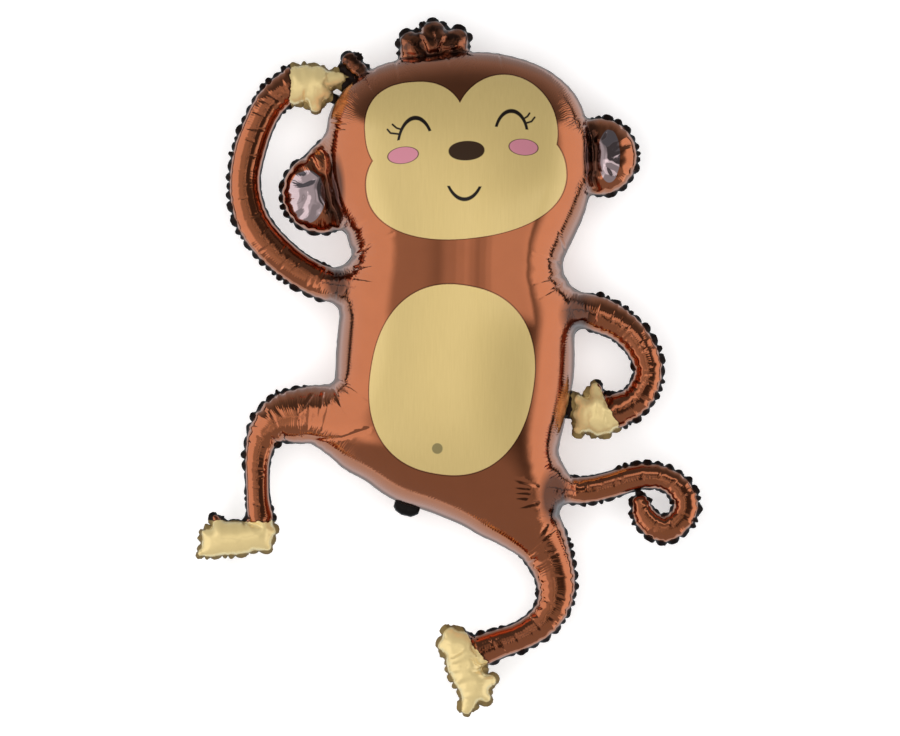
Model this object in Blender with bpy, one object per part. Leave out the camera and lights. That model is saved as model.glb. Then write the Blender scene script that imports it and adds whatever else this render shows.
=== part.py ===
"""A monkey-shaped foil balloon, inflated, lying on its back with its printed front up and its head to +Y.

Two sheets of metallised foil are cut to one outline and welded together along their edge. Inflated,
they swell between the weld: the head and the body into one deep cushion, the arms, legs and tail into
tubes. The weld stays flat and stands out all round as a narrow fin, and joins neighbours that lie
closer than two fins. The sheets, the fin and the filling tab are one body without a joint.

Lengths are in metres. The outline and the prints keep their places as shares of the balloon's height.
The origin is below the middle of the balloon, on the surface that it lies on.
"""

import math

import bmesh
import bpy
import numpy as np
from mathutils import Matrix, Vector
from mathutils.geometry import delaunay_2d_cdt

HEIGHT = 1.12
BODY_DEPTH = 0.3
WELD_WIDTH = 0.0055
WELD_THICKNESS = 0.0014
REST_PRESS = 0.006

TAB_WIDTH = 0.042
TAB_LENGTH = 0.062
TAB_REACH = 0.019
TAB_BEND_RADIUS = 0.01
TAB_THICKNESS = 0.0024
TAB_ROOT = 0.012

# Facets: the first ring of points lies close inside the seam, the next ones further in, and a lattice
# fills the broad parts. Points stand closer together where an edge bends.
GRID_STEP = 0.0025
SHORTEST_EDGE = 0.0046
LONGEST_EDGE = 0.0175
EDGE_TO_RADIUS = 0.66
FIRST_RING = 0.001
SECOND_RING = 0.006
INNER_RINGS = (0.017, 0.034)
CORE_SPACING = 0.034
MASK_STEPS = 60
BELLY_STEPS = 40
BEND_STEPS = 6

# How far apart loose points keep, as shares of the longest edge and of the lattice's spacing, and how far
# inside the last loop they begin.
RING_GAP = 0.55
CROWN_GAP = 0.5
CORE_GAP = 0.6
CROWN_CLEARANCE = 1.3
CORE_CLEARANCE = 0.4

BROWN_FOIL = (0.28, 0.105, 0.052, 1.0)
GOLD_PRINT = (0.66, 0.53, 0.27, 1.0)

# Outline, in hundredths of the height from the middle of the picture, +x to the right and +y up.
PICTURE_EDGES = ((-36.5, -50.5), (36.5, 50.5))
HEAD = (
    (3.0, 45.0), (8.5, 44.4), (13.8, 42.5), (17.8, 39.1), (19.9, 34.4), (20.6, 29.2), (19.8, 23.9),
    (18.0, 19.2), (15.5, 14.9), (10.2, 11.0), (1.6, 9.5), (-7.0, 11.0), (-12.8, 15.0), (-14.9, 19.9),
    (-16.8, 23.9), (-17.5, 28.5), (-17.5, 33.2), (-16.5, 37.4), (-13.9, 40.8), (-8.9, 43.4), (-2.7, 44.5),
)
TORSO = (
    (1.6, 18.9), (13.1, 17.4), (16.2, 13.6), (17.5, 7.4), (17.8, 0.9), (17.2, -4.8), (15.8, -10.5),
    (14.6, -16.3), (13.9, -22.0), (10.9, -25.6), (6.6, -24.3), (3.0, -23.0), (-2.7, -20.7), (-7.5, -19.1),
    (-11.6, -16.4), (-14.8, -13.0), (-16.2, -9.1), (-16.2, -4.1), (-15.9, 3.1), (-15.1, 9.5),
    (-13.2, 15.0), (-9.2, 18.1),
)
NECK_FILLET = 2.0

# Limbs are round strokes: each point of a spine is (x, y, radius).
RAISED_ARM = (
    (-12.5, 11.8, 2.9), (-17.1, 11.8, 2.3), (-21.4, 13.8, 2.2), (-25.2, 16.9, 2.25), (-27.9, 20.3, 2.2),
    (-29.1, 23.9, 2.1), (-29.3, 27.3, 2.0), (-28.6, 31.1, 2.1), (-27.4, 34.5, 2.0), (-25.9, 37.4, 2.0),
    (-24.1, 39.3, 2.1), (-22.2, 40.2, 2.3),
)
RAISED_HAND = (
    ((-22.0, 40.5, 2.3), (-19.7, 40.8, 2.0)),
    ((-19.7, 40.5, 1.6), (-17.5, 41.1, 1.1), (-15.9, 41.4, 0.9)),
    ((-19.7, 40.0, 1.4), (-17.8, 39.2, 0.8)),
    ((-19.7, 39.4, 1.3), (-19.2, 37.7, 0.9)),
    ((-20.9, 41.7, 1.3),),
    ((-18.8, 41.7, 1.1),),
)
SIDE_ARM = (
    (15.2, 8.4, 2.9), (18.8, 8.1, 2.4), (21.7, 7.4, 2.4), (24.2, 6.2, 2.15), (26.5, 4.2, 2.0),
    (28.1, 1.6, 1.9), (28.6, -0.8, 1.8), (27.8, -3.4, 1.9), (26.3, -5.2, 2.0), (24.2, -6.2, 2.2),
)
SIDE_HAND = (
    ((23.7, -6.7, 2.0), (21.7, -7.0, 2.2), (20.5, -7.1, 2.0)),
    ((21.4, -5.5, 1.3), (21.1, -3.5, 0.9)),
    ((20.2, -6.2, 1.3), (18.7, -4.9, 0.7)),
    ((19.9, -7.0, 1.3), (18.4, -6.8, 0.6)),
    ((20.2, -7.7, 1.3), (18.8, -8.8, 0.7)),
    ((22.4, -8.2, 1.3), (21.4, -8.8, 0.9)),
)
BENT_LEG = (
    (-12.1, -9.1, 5.9), (-17.8, -7.1, 4.3), (-21.7, -7.1, 3.7), (-24.1, -7.5, 3.1), (-26.0, -9.0, 2.4),
    (-27.0, -11.0, 1.9), (-27.5, -13.6, 1.6), (-27.5, -16.3, 1.5), (-27.4, -19.2, 1.5), (-27.1, -21.7, 1.7),
)
BENT_FOOT = (
    ((-27.0, -23.7, 1.7), (-29.3, -24.5, 2.1), (-32.0, -24.7, 2.2), (-33.6, -25.3, 1.65)),
    ((-32.7, -23.5, 1.0), (-33.4, -22.0, 0.5)),
    ((-33.9, -24.6, 1.0), (-34.9, -23.9, 0.4)),
    ((-33.7, -25.9, 1.0), (-35.3, -26.6, 0.5)),
    ((-27.1, -24.9, 1.3), (-26.3, -25.6, 0.6)),
    ((-26.8, -23.5, 1.1), (-25.8, -23.5, 0.6)),
)
STEPPING_LEG = (
    (8.2, -19.0, 5.7), (12.3, -23.6, 4.0), (14.4, -27.5, 3.0), (15.4, -31.2, 2.55), (14.9, -34.4, 2.2),
    (13.1, -36.9, 2.0), (10.2, -38.7, 1.85), (7.3, -39.7, 1.9), (4.7, -40.7, 2.1),
)
STEPPING_FOOT = (
    ((1.6, -40.1, 2.0), (2.2, -42.7, 2.3), (3.3, -45.6, 1.9)),
    ((0.4, -38.8, 1.1),),
    ((-0.4, -40.1, 0.9),),
    ((4.2, -45.3, 1.3), (5.7, -45.1, 0.8)),
    ((3.9, -46.1, 1.3), (5.2, -47.4, 0.6)),
    ((3.3, -46.7, 1.3), (2.6, -48.8, 0.8)),
)
TAIL = (
    (13.8, -16.6, 3.2), (16.8, -17.6, 1.9), (19.9, -17.7, 1.7), (23.1, -17.0, 1.7), (26.0, -16.1, 1.7),
    (28.8, -15.7, 1.6), (31.4, -16.3, 1.5), (33.3, -17.9, 1.6), (34.0, -20.0, 1.6), (33.1, -22.0, 1.6),
    (31.1, -23.3, 1.7), (29.1, -22.6, 1.6), (27.9, -21.2, 1.4), (27.5, -19.7, 1.1),
)
HAIR = (
    ((-5.3, 46.3, 1.6), (-5.3, 44.0, 1.6)),
    ((-2.2, 47.3, 2.0), (-2.2, 44.0, 2.0)),
    ((1.0, 46.7, 1.6), (1.0, 44.0, 1.6)),
)
HAIR_CURL = (((-14.1, 43.7, 1.1), (-12.2, 41.7, 1.0)),)
LEFT_EAR = (
    ((-18.2, 24.9, 5.5),),
    ((-18.2, 29.6, 2.0), (-17.1, 31.1, 1.4)),
)
RIGHT_EAR = (((21.4, 30.1, 5.3),),)

# Each limb: its strokes, the fillet where it joins the rest, the fillet between its own strokes, and
# how far its mouth at the body is drawn in, from 0 for a wide open one to about 9 for one nearly shut.
LIMBS = (
    ((RAISED_ARM,), 2.6, 0, 0.5),
    ((SIDE_ARM,), 2.3, 0, 0.5),
    ((BENT_LEG,), 2.0, 0, 0),
    ((STEPPING_LEG,), 2.0, 0, 0.1),
    ((TAIL,), 2.6, 0, 0.5),
    (LEFT_EAR, 2.0, 0.7, 9.0),
    (RIGHT_EAR, 1.2, 0.7, 9.0),
    (HAIR, 1.1, 1.0, 6.0),
    (HAIR_CURL, 0.9, 0.7, 3.0),
    (RAISED_HAND, 0.7, 0.7, 0),
    (SIDE_HAND, 0.7, 0.7, 0),
    (BENT_FOOT, 0.7, 0.7, 0),
    (STEPPING_FOOT, 0.7, 0.7, 0),
)
MOUTH_BAND = 0.5

# Prints on the front: the mask round the face in three lobes, and the belly. Both stay flush.
MASK_LOBES = (
    ((-3.7, 33.5), (9.2, 7.6)),
    ((7.9, 34.0), (8.0, 7.9)),
    ((2.5, 25.8), (14.2, 7.6)),
)
MASK_MIDDLE = (2.2, 30.0)
BELLY = ((0.45, -1.8), (11.8, 13.7))
BELLY_SQUARENESS = 2.35
# Gold hands and feet begin at these cuts: a point, the direction of the fingers or toes, a reach.
CUFFS = (
    ((-22.7, 40.4), (1.0, 0.0), 9.0),
    ((23.6, -6.9), (-1.0, -0.25), 8.0),
    ((-27.0, -22.2), (-0.1, -1.0), 11.0),
    ((4.4, -40.6), (-0.75, -0.66), 10.5),
)

# The filling tab leaves the weld at the bottom of the body, in hundredths of the height.
TAB_PLACE = (-6.0, -20.0)

STROKE_STEPS = 4
FEWEST_STEPS = 24
FEWEST_LOOP_POINTS = 6
CURVE_PASSES = 3
BEND_PASSES = 4
SOLVER_SWEEPS = 460
SOLVER_PUSH = 1.955
SHORTEST_ARM = 0.05
DEPTH_SOFTNESS = 2


def in_metres(shares):
    return np.array(shares, float) * HEIGHT / 100


def smooth_path(points, closed=False):
    """A Catmull-Rom curve through the points, with STROKE_STEPS pieces from each point to the next."""
    count = len(points)
    pieces = []
    for i in range(count if closed else count - 1):
        if closed:
            before, start, end, after = (points[(i + k) % count] for k in (-1, 0, 1, 2))
        else:
            before, start, end, after = (points[min(max(i + k, 0), count - 1)] for k in (-1, 0, 1, 2))
        t = np.linspace(0, 1, STROKE_STEPS, endpoint=False)[:, None]
        bend = 2 * before - 5 * start + 4 * end - after
        twist = -before + 3 * start - 3 * end + after
        pieces.append(start + 0.5 * ((end - before) * t + bend * t**2 + twist * t**3))
    if not closed:
        pieces.append(points[-1:])
    return np.vstack(pieces)


def distance_to_stroke(shares, x, y):
    """Signed distance to a chain of round cones, negative inside. A single point is a disc."""
    path = smooth_path(in_metres(shares))
    nearest = np.hypot(x - path[0, 0], y - path[0, 1]) - path[0, 2]
    for start, end in zip(path[:-1], path[1:]):
        run = end[:2] - start[:2]
        along = ((x - start[0]) * run[0] + (y - start[1]) * run[1]) / max(run @ run, 1e-12)
        along = np.clip(along, 0, 1)
        off = np.hypot(x - start[0] - along * run[0], y - start[1] - along * run[1])
        nearest = np.minimum(nearest, off - start[2] - along * (end[2] - start[2]))
    return nearest


def inside_loops(loops, x, y):
    """True where a point is inside the closed loops, holes left out."""
    inside = np.zeros(np.shape(x), bool)
    for loop in loops:
        for start, end in zip(loop, np.roll(loop, -1, axis=0)):
            crosses = (start[1] > y) != (end[1] > y)
            rise = end[1] - start[1]
            at = start[0] + (y - start[1]) * (end[0] - start[0]) / (rise if rise else 1e-12)
            inside ^= crosses & (x < at)
    return inside


def distance_to_outline(shares, x, y):
    """Signed distance to a smooth closed outline, negative inside."""
    loop = smooth_path(in_metres(shares), closed=True)
    nearest = np.full(x.shape, np.inf)
    for start, end in zip(loop, np.roll(loop, -1, axis=0)):
        run = end - start
        along = np.clip(((x - start[0]) * run[0] + (y - start[1]) * run[1]) / (run @ run), 0, 1)
        nearest = np.minimum(nearest, np.hypot(x - start[0] - along * run[0], y - start[1] - along * run[1]))
    return np.where(inside_loops([loop], x, y), -nearest, nearest)


def joined(one, other, fillet):
    """Both shapes as one, with a fillet of about this many hundredths of the height between them."""
    if not fillet:
        return np.minimum(one, other)
    radius = fillet * HEIGHT / 100
    share = np.clip(0.5 + 0.5 * (other - one) / radius, 0, 1)
    return other * (1 - share) + one * share - radius * share * (1 - share)


def balloon_fields(x, y):
    """Signed distance to the seam, and how strongly the sheets are held together at each point."""
    body = joined(distance_to_outline(HEAD, x, y), distance_to_outline(TORSO, x, y), NECK_FILLET)
    seam = body
    hold = np.zeros(x.shape)
    band = MOUTH_BAND * HEIGHT / 100
    for strokes, fillet, own_fillet, mouth in LIMBS:
        limb = distance_to_stroke(strokes[0], x, y)
        for stroke in strokes[1:]:
            limb = joined(limb, distance_to_stroke(stroke, x, y), own_fillet)
        seam = joined(seam, limb, fillet)
        across = max(point[2] for stroke in strokes for point in stroke) * HEIGHT / 100
        wall = mouth / (across * band * math.sqrt(math.pi)) * np.exp(-((body / band) ** 2))
        hold = np.where(limb < band, np.maximum(hold, wall), hold)
    return seam, hold


def swell(seam, hold):
    """Height of each sheet over the plane of the weld, on the grid.

    The square of the height solves Poisson's equation inside the seam: a straight limb comes out
    round and a broad part a flattened dome. The deepest parts are then eased to BODY_DEPTH.
    """
    inside = seam < 0
    arms = []
    for axis, shift in ((1, -1), (1, 1), (0, -1), (0, 1)):
        beyond = np.roll(seam, shift, axis)
        reach = np.where(beyond < 0, 1.0, seam / np.minimum(seam - np.maximum(beyond, 0), -1e-9))
        arms.append(np.clip(reach, SHORTEST_ARM, 1.0))
    east, west, north, south = arms
    diagonal = 2 / (east * west) + 2 / (north * south) + hold * GRID_STEP**2
    weights = []
    for arm, opposite, axis, shift in ((east, west, 1, -1), (west, east, 1, 1),
                                       (north, south, 0, -1), (south, north, 0, 1)):
        linked = inside & (np.roll(seam, shift, axis) < 0)
        weights.append((np.where(linked, 2 / (arm * (arm + opposite)) / diagonal, 0), axis, shift))
    source = np.where(inside, GRID_STEP**2 / diagonal, 0)
    rows, columns = np.indices(seam.shape)
    colours = [np.where(inside & ((rows + columns) % 2 == parity), SOLVER_PUSH, 0) for parity in (0, 1)]
    swelling = np.zeros(seam.shape)
    for _ in range(SOLVER_SWEEPS):
        for colour in colours:
            settled = source.copy()
            for weight, axis, shift in weights:
                settled += weight * np.roll(swelling, shift, axis)
            swelling += colour * (settled - swelling)
    return swelling


def read_grid(grid, corner, points):
    """Values of a grid at points between its nodes."""
    column, row = ((points - corner) / GRID_STEP).T
    left = np.clip(column.astype(int), 0, grid.shape[1] - 2)
    low = np.clip(row.astype(int), 0, grid.shape[0] - 2)
    u = column - left
    v = row - low
    lower = grid[low, left] * (1 - u) + grid[low, left + 1] * u
    upper = grid[low + 1, left] * (1 - u) + grid[low + 1, left + 1] * u
    return lower * (1 - v) + upper * v


def level_loops(grid, level, corner):
    """Closed curves where the grid has this value, with the lower values on their left."""
    low = grid < level
    columns = grid.shape[1]
    count = low[:-1, :-1].astype(int) + low[1:, :-1] + low[:-1, 1:] + low[1:, 1:]
    following = {}
    places = {}
    for row, column in zip(*np.nonzero((count > 0) & (count < 4))):
        cell = ((row, column), (row, column + 1), (row + 1, column + 1), (row + 1, column))
        leaving = []
        entering = []
        for k in range(4):
            start = cell[k]
            end = cell[(k + 1) % 4]
            if low[start] == low[end]:
                continue
            first = min(start, end)
            key = (first[0] * columns + first[1]) * 2 + (start[0] == end[0])
            share = (level - grid[start]) / (grid[end] - grid[start])
            places[key] = (start[1] + share * (end[1] - start[1]), start[0] + share * (end[0] - start[0]))
            (leaving if low[start] else entering).append(key)
        middle_is_low = grid[row:row + 2, column:column + 2].mean() < level
        if len(leaving) == 2 and middle_is_low != low[cell[0]]:
            entering.reverse()
        following.update(zip(leaving, entering))
    loops = []
    while following:
        key, after = following.popitem()
        loop = [key]
        while after != key:
            loop.append(after)
            after = following.pop(after)
        loops.append(np.array([places[k] for k in loop]) * GRID_STEP + corner)
    return loops


def evened(loop):
    """The loop with points close together where it bends and far apart where it runs straight."""
    steps = np.hypot(*(np.roll(loop, -1, axis=0) - loop).T)
    travelled = np.concatenate([[0], np.cumsum(steps)])
    length = travelled[-1]
    fine = max(int(length / GRID_STEP), FEWEST_STEPS)
    at = np.arange(fine) / fine * length
    closed = np.vstack([loop, loop[:1]])
    curve = np.stack([np.interp(at, travelled, closed[:, k]) for k in (0, 1)], axis=1)
    for _ in range(CURVE_PASSES):
        curve = 0.5 * curve + 0.25 * (np.roll(curve, 1, axis=0) + np.roll(curve, -1, axis=0))
    ahead = np.roll(curve, -2, axis=0) - curve
    behind = curve - np.roll(curve, 2, axis=0)
    turn = np.abs(ahead[:, 0] * behind[:, 1] - ahead[:, 1] * behind[:, 0])
    bend = turn / (np.hypot(*ahead.T) * np.hypot(*behind.T)) / (2 * length / fine)
    for _ in range(BEND_PASSES):
        bend = np.maximum(bend, 0.5 * (np.roll(bend, 1) + np.roll(bend, -1)))
    spacing = np.clip(EDGE_TO_RADIUS / np.maximum(bend, 1e-6), SHORTEST_EDGE, LONGEST_EDGE)
    pace = np.concatenate([[0], np.cumsum(length / fine / spacing)])
    count = max(int(round(pace[-1])), FEWEST_LOOP_POINTS)
    at = np.interp(np.arange(count) / count * pace[-1], pace, np.arange(fine + 1))
    closed = np.vstack([curve, curve[:1]])
    return np.stack([np.interp(at, np.arange(fine + 1), closed[:, k]) for k in (0, 1)], axis=1)


def drawn_in(loop, depth):
    """The loop moved to its left by a short depth, point by point."""
    run = np.roll(loop, -1, axis=0) - np.roll(loop, 1, axis=0)
    run /= np.hypot(*run.T)[:, None]
    return loop + depth * np.stack([-run[:, 1], run[:, 0]], axis=1)


def mask_outline():
    """The gold mask: three ellipses as one outline, with a cleft between the two upper lobes."""
    bearings = np.linspace(0, 2 * math.pi, MASK_STEPS, endpoint=False)
    rays = np.stack([np.cos(bearings), np.sin(bearings)], axis=1)
    middle = np.array(MASK_MIDDLE)
    reach = np.zeros(len(rays))
    for centre, radii in MASK_LOBES:
        start = (middle - centre) / radii
        ray = rays / radii
        a = (ray**2).sum(axis=1)
        b = ray @ start
        root = np.maximum(b**2 - a * (start @ start - 1), 0)
        reach = np.maximum(reach, np.where(root > 0, (-b + np.sqrt(root)) / a, 0))
    return in_metres(middle + rays * reach[:, None])


def belly_outline():
    """The gold belly: a rounded oval a little squarer than an ellipse."""
    (x, y), (half_width, half_height) = BELLY
    turns = np.linspace(0, 2 * math.pi, BELLY_STEPS, endpoint=False)
    round_off = 2 / BELLY_SQUARENESS
    across = np.sign(np.cos(turns)) * np.abs(np.cos(turns)) ** round_off
    up = np.sign(np.sin(turns)) * np.abs(np.sin(turns)) ** round_off
    return in_metres(np.stack([x + half_width * across, y + half_height * up], axis=1))


def beyond_cuffs(points):
    """True on the gold hands and feet."""
    found = np.zeros(len(points), bool)
    for place, towards, reach in CUFFS:
        offset = points - in_metres(place)
        direction = np.array(towards) / math.hypot(*towards)
        near = np.hypot(*offset.T) < reach * HEIGHT / 100
        found |= near & (offset @ direction > 0)
    return found


def spread_apart(fixed, candidates, gap):
    """The candidates, in order, that keep this gap to the fixed points and to each other."""
    kept = list(fixed)
    chosen = []
    for point in candidates:
        if np.hypot(*(np.array(kept) - point).T).min() > gap:
            kept.append(point)
            chosen.append(point)
    return chosen


def lattice(x, y):
    """A triangular lattice over the whole sheet."""
    row_step = CORE_SPACING * math.sqrt(3) / 2
    points = []
    for row, level in enumerate(np.arange(y.min(), y.max(), row_step)):
        start = x.min() + (row % 2) * CORE_SPACING / 2
        points += [(at, level) for at in np.arange(start, x.max(), CORE_SPACING)]
    return np.array(points)


def sheet_points(seam, corner, x, y):
    """Points of the flat sheet: closed loops that the facets keep to, and loose points between them."""
    weld_loops = [evened(loop) for loop in level_loops(seam, WELD_WIDTH, corner)]
    seam_loops = [evened(loop) for loop in level_loops(seam, 0, corner)]
    first_loops = [drawn_in(loop, FIRST_RING) for loop in seam_loops]
    second_loops = [evened(loop) for loop in level_loops(seam, -SECOND_RING, corner)]
    loops = weld_loops + seam_loops + first_loops + second_loops + [mask_outline(), belly_outline()]

    rings = [evened(loop) for depth in INNER_RINGS for loop in level_loops(seam, -depth, corner)]
    inner = spread_apart(np.vstack(loops), np.vstack(rings), RING_GAP * LONGEST_EDGE)
    spines = [smooth_path(in_metres(stroke))[:, :2] for limb in LIMBS for stroke in limb[0]]
    crown = np.vstack(spines)
    crown = crown[read_grid(seam, corner, crown) < -CROWN_CLEARANCE * SECOND_RING]
    inner += spread_apart(np.vstack(loops + [inner]), crown, CROWN_GAP * LONGEST_EDGE)
    core = lattice(x, y)
    core = core[read_grid(seam, corner, core) < -INNER_RINGS[-1] - CORE_CLEARANCE * CORE_SPACING]
    inner += spread_apart(np.vstack(loops + [inner]), core, CORE_GAP * CORE_SPACING)
    return weld_loops, loops, inner


def sheet_triangles(weld_loops, loops, inner):
    """The flat sheet as triangles, cut out along the outer edge of the weld."""
    edges = []
    start = 0
    for loop in loops:
        edges += [(start + k, start + (k + 1) % len(loop)) for k in range(len(loop))]
        start += len(loop)
    cloud = [Vector(point) for point in np.vstack(loops + [inner])]
    points, _, triangles, _, _, _ = delaunay_2d_cdt(cloud, edges, [], 0, 1e-6)
    points = np.array([tuple(point) for point in points])
    triangles = np.array(triangles)
    middles = points[triangles].mean(axis=1)
    return points, triangles[inside_loops(weld_loops, *middles.T)]


def sheet_height(seam, swelling, corner, points):
    """Height of the front sheet over the plane of the weld.

    Between the seam and the second ring the swelling is read at that ring and followed outwards,
    where it falls nearly in proportion to the depth inside the seam.
    """
    depth = np.maximum(-read_grid(seam, corner, points), 0)
    slopes = np.gradient(seam, GRID_STEP)[::-1]
    outward = np.stack([read_grid(slope, corner, points) for slope in slopes], axis=1)
    outward /= np.maximum(np.hypot(*outward.T), 1e-9)[:, None]
    short = np.maximum(SECOND_RING - depth, 0)
    probe = points - outward * short[:, None]
    ratio = read_grid(swelling, corner, probe) / np.maximum(-read_grid(seam, corner, probe), 1e-6)
    followed = depth * (ratio + short / 2)
    height = np.sqrt(2 * np.maximum(np.where(short > 0, followed, read_grid(swelling, corner, points)), 1e-8))

    ease = DEPTH_SOFTNESS
    limit = (BODY_DEPTH / 2) ** -ease - height.max() ** -ease
    height = (height**-ease + limit) ** (-1 / ease)
    return np.where(depth < 0.25 * FIRST_RING, WELD_THICKNESS / 2, np.maximum(height, WELD_THICKNESS))


def front_sheet():
    """The front sheet's points, heights, triangles and gold triangles, and the seam it was cut from."""
    margin = 2 * WELD_WIDTH + 4 * GRID_STEP
    low, high = in_metres(PICTURE_EDGES) + ((-margin,), (margin,))
    x, y = np.meshgrid(np.arange(low[0], high[0], GRID_STEP), np.arange(low[1], high[1], GRID_STEP))
    seam, hold = balloon_fields(x, y)
    weld_loops, loops, inner = sheet_points(seam, low, x, y)
    points, triangles = sheet_triangles(weld_loops, loops, inner)
    height = sheet_height(seam, swell(seam, hold), low, points)
    middles = points[triangles].mean(axis=1)
    gold = inside_loops([mask_outline()], *middles.T) | inside_loops([belly_outline()], *middles.T)
    gold |= beyond_cuffs(middles)
    return points, height, triangles, gold, (seam, low)


def foil_material(name, colour, metallic, roughness):
    material = bpy.data.materials.new(name)
    material.use_nodes = True
    shader = material.node_tree.nodes["Principled BSDF"]
    shader.inputs["Base Color"].default_value = colour
    shader.inputs["Metallic"].default_value = metallic
    shader.inputs["Roughness"].default_value = roughness
    material.diffuse_color = colour
    return material


def filling_tab(seam, corner):
    """The tongue that the balloon is filled through: out of the weld, round a bend and straight down."""
    place = in_metres(TAB_PLACE)
    gradient = [read_grid(grid, corner, place[None])[0] for grid in np.gradient(seam, GRID_STEP)[::-1]]
    outward = np.array(gradient) / math.hypot(*gradient)
    place = place - outward * read_grid(seam, corner, place[None])[0]
    radius = TAB_BEND_RADIUS
    level_run = TAB_REACH - radius
    rows = [(-TAB_ROOT, 0.0, 0.0), (level_run, 0.0, 0.0)]
    for k in range(1, BEND_STEPS + 1):
        turn = k / BEND_STEPS * math.pi / 2
        rows.append((level_run + radius * math.sin(turn), radius * (math.cos(turn) - 1), turn))
    rows.append((TAB_REACH, -TAB_LENGTH + TAB_WIDTH / 4, math.pi / 2))
    half_width = [TAB_WIDTH / 2] * len(rows)
    for k in range(1, BEND_STEPS):
        turn = k / BEND_STEPS * math.pi / 2
        rows.append((TAB_REACH, -TAB_LENGTH + TAB_WIDTH / 4 * (1 - math.sin(turn)), math.pi / 2))
        half_width.append(TAB_WIDTH / 2 - TAB_WIDTH / 4 * (1 - math.cos(turn)))

    tongue = bmesh.new()
    previous = None
    for (out, down, turn), half in zip(rows, half_width):
        lift = Vector((math.sin(turn), 0, math.cos(turn))) * TAB_THICKNESS / 2
        middle = Vector((out, 0, down))
        side = Vector((0, half, 0))
        ring = [tongue.verts.new(middle + u * side + v * lift) for u, v in ((1, 1), (-1, 1), (-1, -1), (1, -1))]
        if previous is None:
            tongue.faces.new(ring)
        else:
            for k in range(4):
                tongue.faces.new((previous[k], ring[k], ring[(k + 1) % 4], previous[(k + 1) % 4]))
        previous = ring
    tongue.faces.new(previous)
    bmesh.ops.recalc_face_normals(tongue, faces=tongue.faces)
    mesh = bpy.data.meshes.new("filling_tab_cutter")
    tongue.to_mesh(mesh)
    tongue.free()
    heading = Matrix.Rotation(math.atan2(outward[1], outward[0]), 4, "Z")
    mesh.transform(Matrix.Translation((place[0], place[1], 0)) @ heading)
    return mesh


def guide_object(name, mesh):
    guide = bpy.data.objects.new(name, mesh)
    guide.hide_render = True
    guide.display_type = "WIRE"
    bpy.context.scene.collection.objects.link(guide)
    return guide


def build_balloon():
    points, height, triangles, gold, (seam, corner) = front_sheet()
    sheet = bmesh.new()
    vertices = [sheet.verts.new((x, y, z)) for (x, y), z in zip(points, height)]
    for triangle, is_gold in zip(triangles, gold):
        face = sheet.faces.new([vertices[k] for k in triangle])
        face.material_index = int(is_gold)
    loose = [vertex for vertex in sheet.verts if not vertex.link_faces]
    bmesh.ops.delete(sheet, geom=loose, context="VERTS")
    edge_of_weld = [edge for edge in sheet.edges if edge.is_boundary]
    skirt = bmesh.ops.extrude_edge_only(sheet, edges=edge_of_weld)["geom"]
    for vertex in skirt:
        if isinstance(vertex, bmesh.types.BMVert):
            vertex.co.z = 0
    mesh = bpy.data.meshes.new("monkey_foil_balloon")
    sheet.to_mesh(mesh)
    sheet.free()
    mesh.materials.append(foil_material("brown_foil", BROWN_FOIL, 1.0, 0.22))
    mesh.materials.append(foil_material("gold_print", GOLD_PRINT, 0.6, 0.38))
    mesh.shade_smooth()
    balloon = bpy.data.objects.new("monkey_foil_balloon", mesh)
    bpy.context.scene.collection.objects.link(balloon)

    back = balloon.modifiers.new("back sheet", "MIRROR")
    back.use_axis = (False, False, True)
    back.merge_threshold = 1e-5

    tab = guide_object("filling_tab_cutter", filling_tab(seam, corner))
    weld_on = balloon.modifiers.new("filling tab", "BOOLEAN")
    weld_on.operation = "UNION"
    weld_on.object = tab

    bpy.ops.mesh.primitive_cube_add(size=2 * HEIGHT)
    floor = bpy.context.object
    floor.name = "floor_cutter"
    floor.hide_render = True
    floor.display_type = "WIRE"
    floor.location.z = -BODY_DEPTH / 2 + REST_PRESS - HEIGHT
    press = balloon.modifiers.new("resting spot", "BOOLEAN")
    press.operation = "DIFFERENCE"
    press.object = floor

    middle = (points.min(axis=0) + points.max(axis=0)) / 2
    for piece in (balloon, tab, floor):
        piece.location += Vector((-middle[0], -middle[1], BODY_DEPTH / 2 - REST_PRESS))
    return balloon


for leftover in list(bpy.data.objects):
    bpy.data.objects.remove(leftover)
build_balloon()
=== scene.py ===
import math

import bpy
import numpy as np
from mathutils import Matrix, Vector
from mathutils.geometry import delaunay_2d_cdt
from mathutils.kdtree import KDTree


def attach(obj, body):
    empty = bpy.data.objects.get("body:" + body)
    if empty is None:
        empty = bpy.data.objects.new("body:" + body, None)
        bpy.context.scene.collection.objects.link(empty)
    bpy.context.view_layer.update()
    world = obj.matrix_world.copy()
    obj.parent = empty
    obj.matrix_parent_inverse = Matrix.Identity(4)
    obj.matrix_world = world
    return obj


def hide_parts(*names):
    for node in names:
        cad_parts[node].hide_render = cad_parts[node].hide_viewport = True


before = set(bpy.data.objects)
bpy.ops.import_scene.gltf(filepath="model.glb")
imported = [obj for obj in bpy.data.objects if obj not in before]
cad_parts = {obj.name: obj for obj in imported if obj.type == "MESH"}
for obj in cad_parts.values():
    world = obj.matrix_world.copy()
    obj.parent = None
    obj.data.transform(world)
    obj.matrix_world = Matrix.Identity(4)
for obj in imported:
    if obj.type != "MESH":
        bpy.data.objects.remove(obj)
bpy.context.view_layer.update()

# The foil envelope is two sheets of metallised film cut to one outline and welded along it, blown up
# tight. The outline keeps the frame's shape: points are in hundredths of the balloon's height from
# the middle of the pattern, +x to the viewer's right and +y to the head.
HEIGHT = 1.12
BODY_DEPTH = 0.3
WELD_WIDTH = 0.0055
REST_PRESS = 0.006
GRID_STEP = 0.0025
PATTERN_EDGES = ((-36.5, -50.5), (36.5, 50.5))
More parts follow.
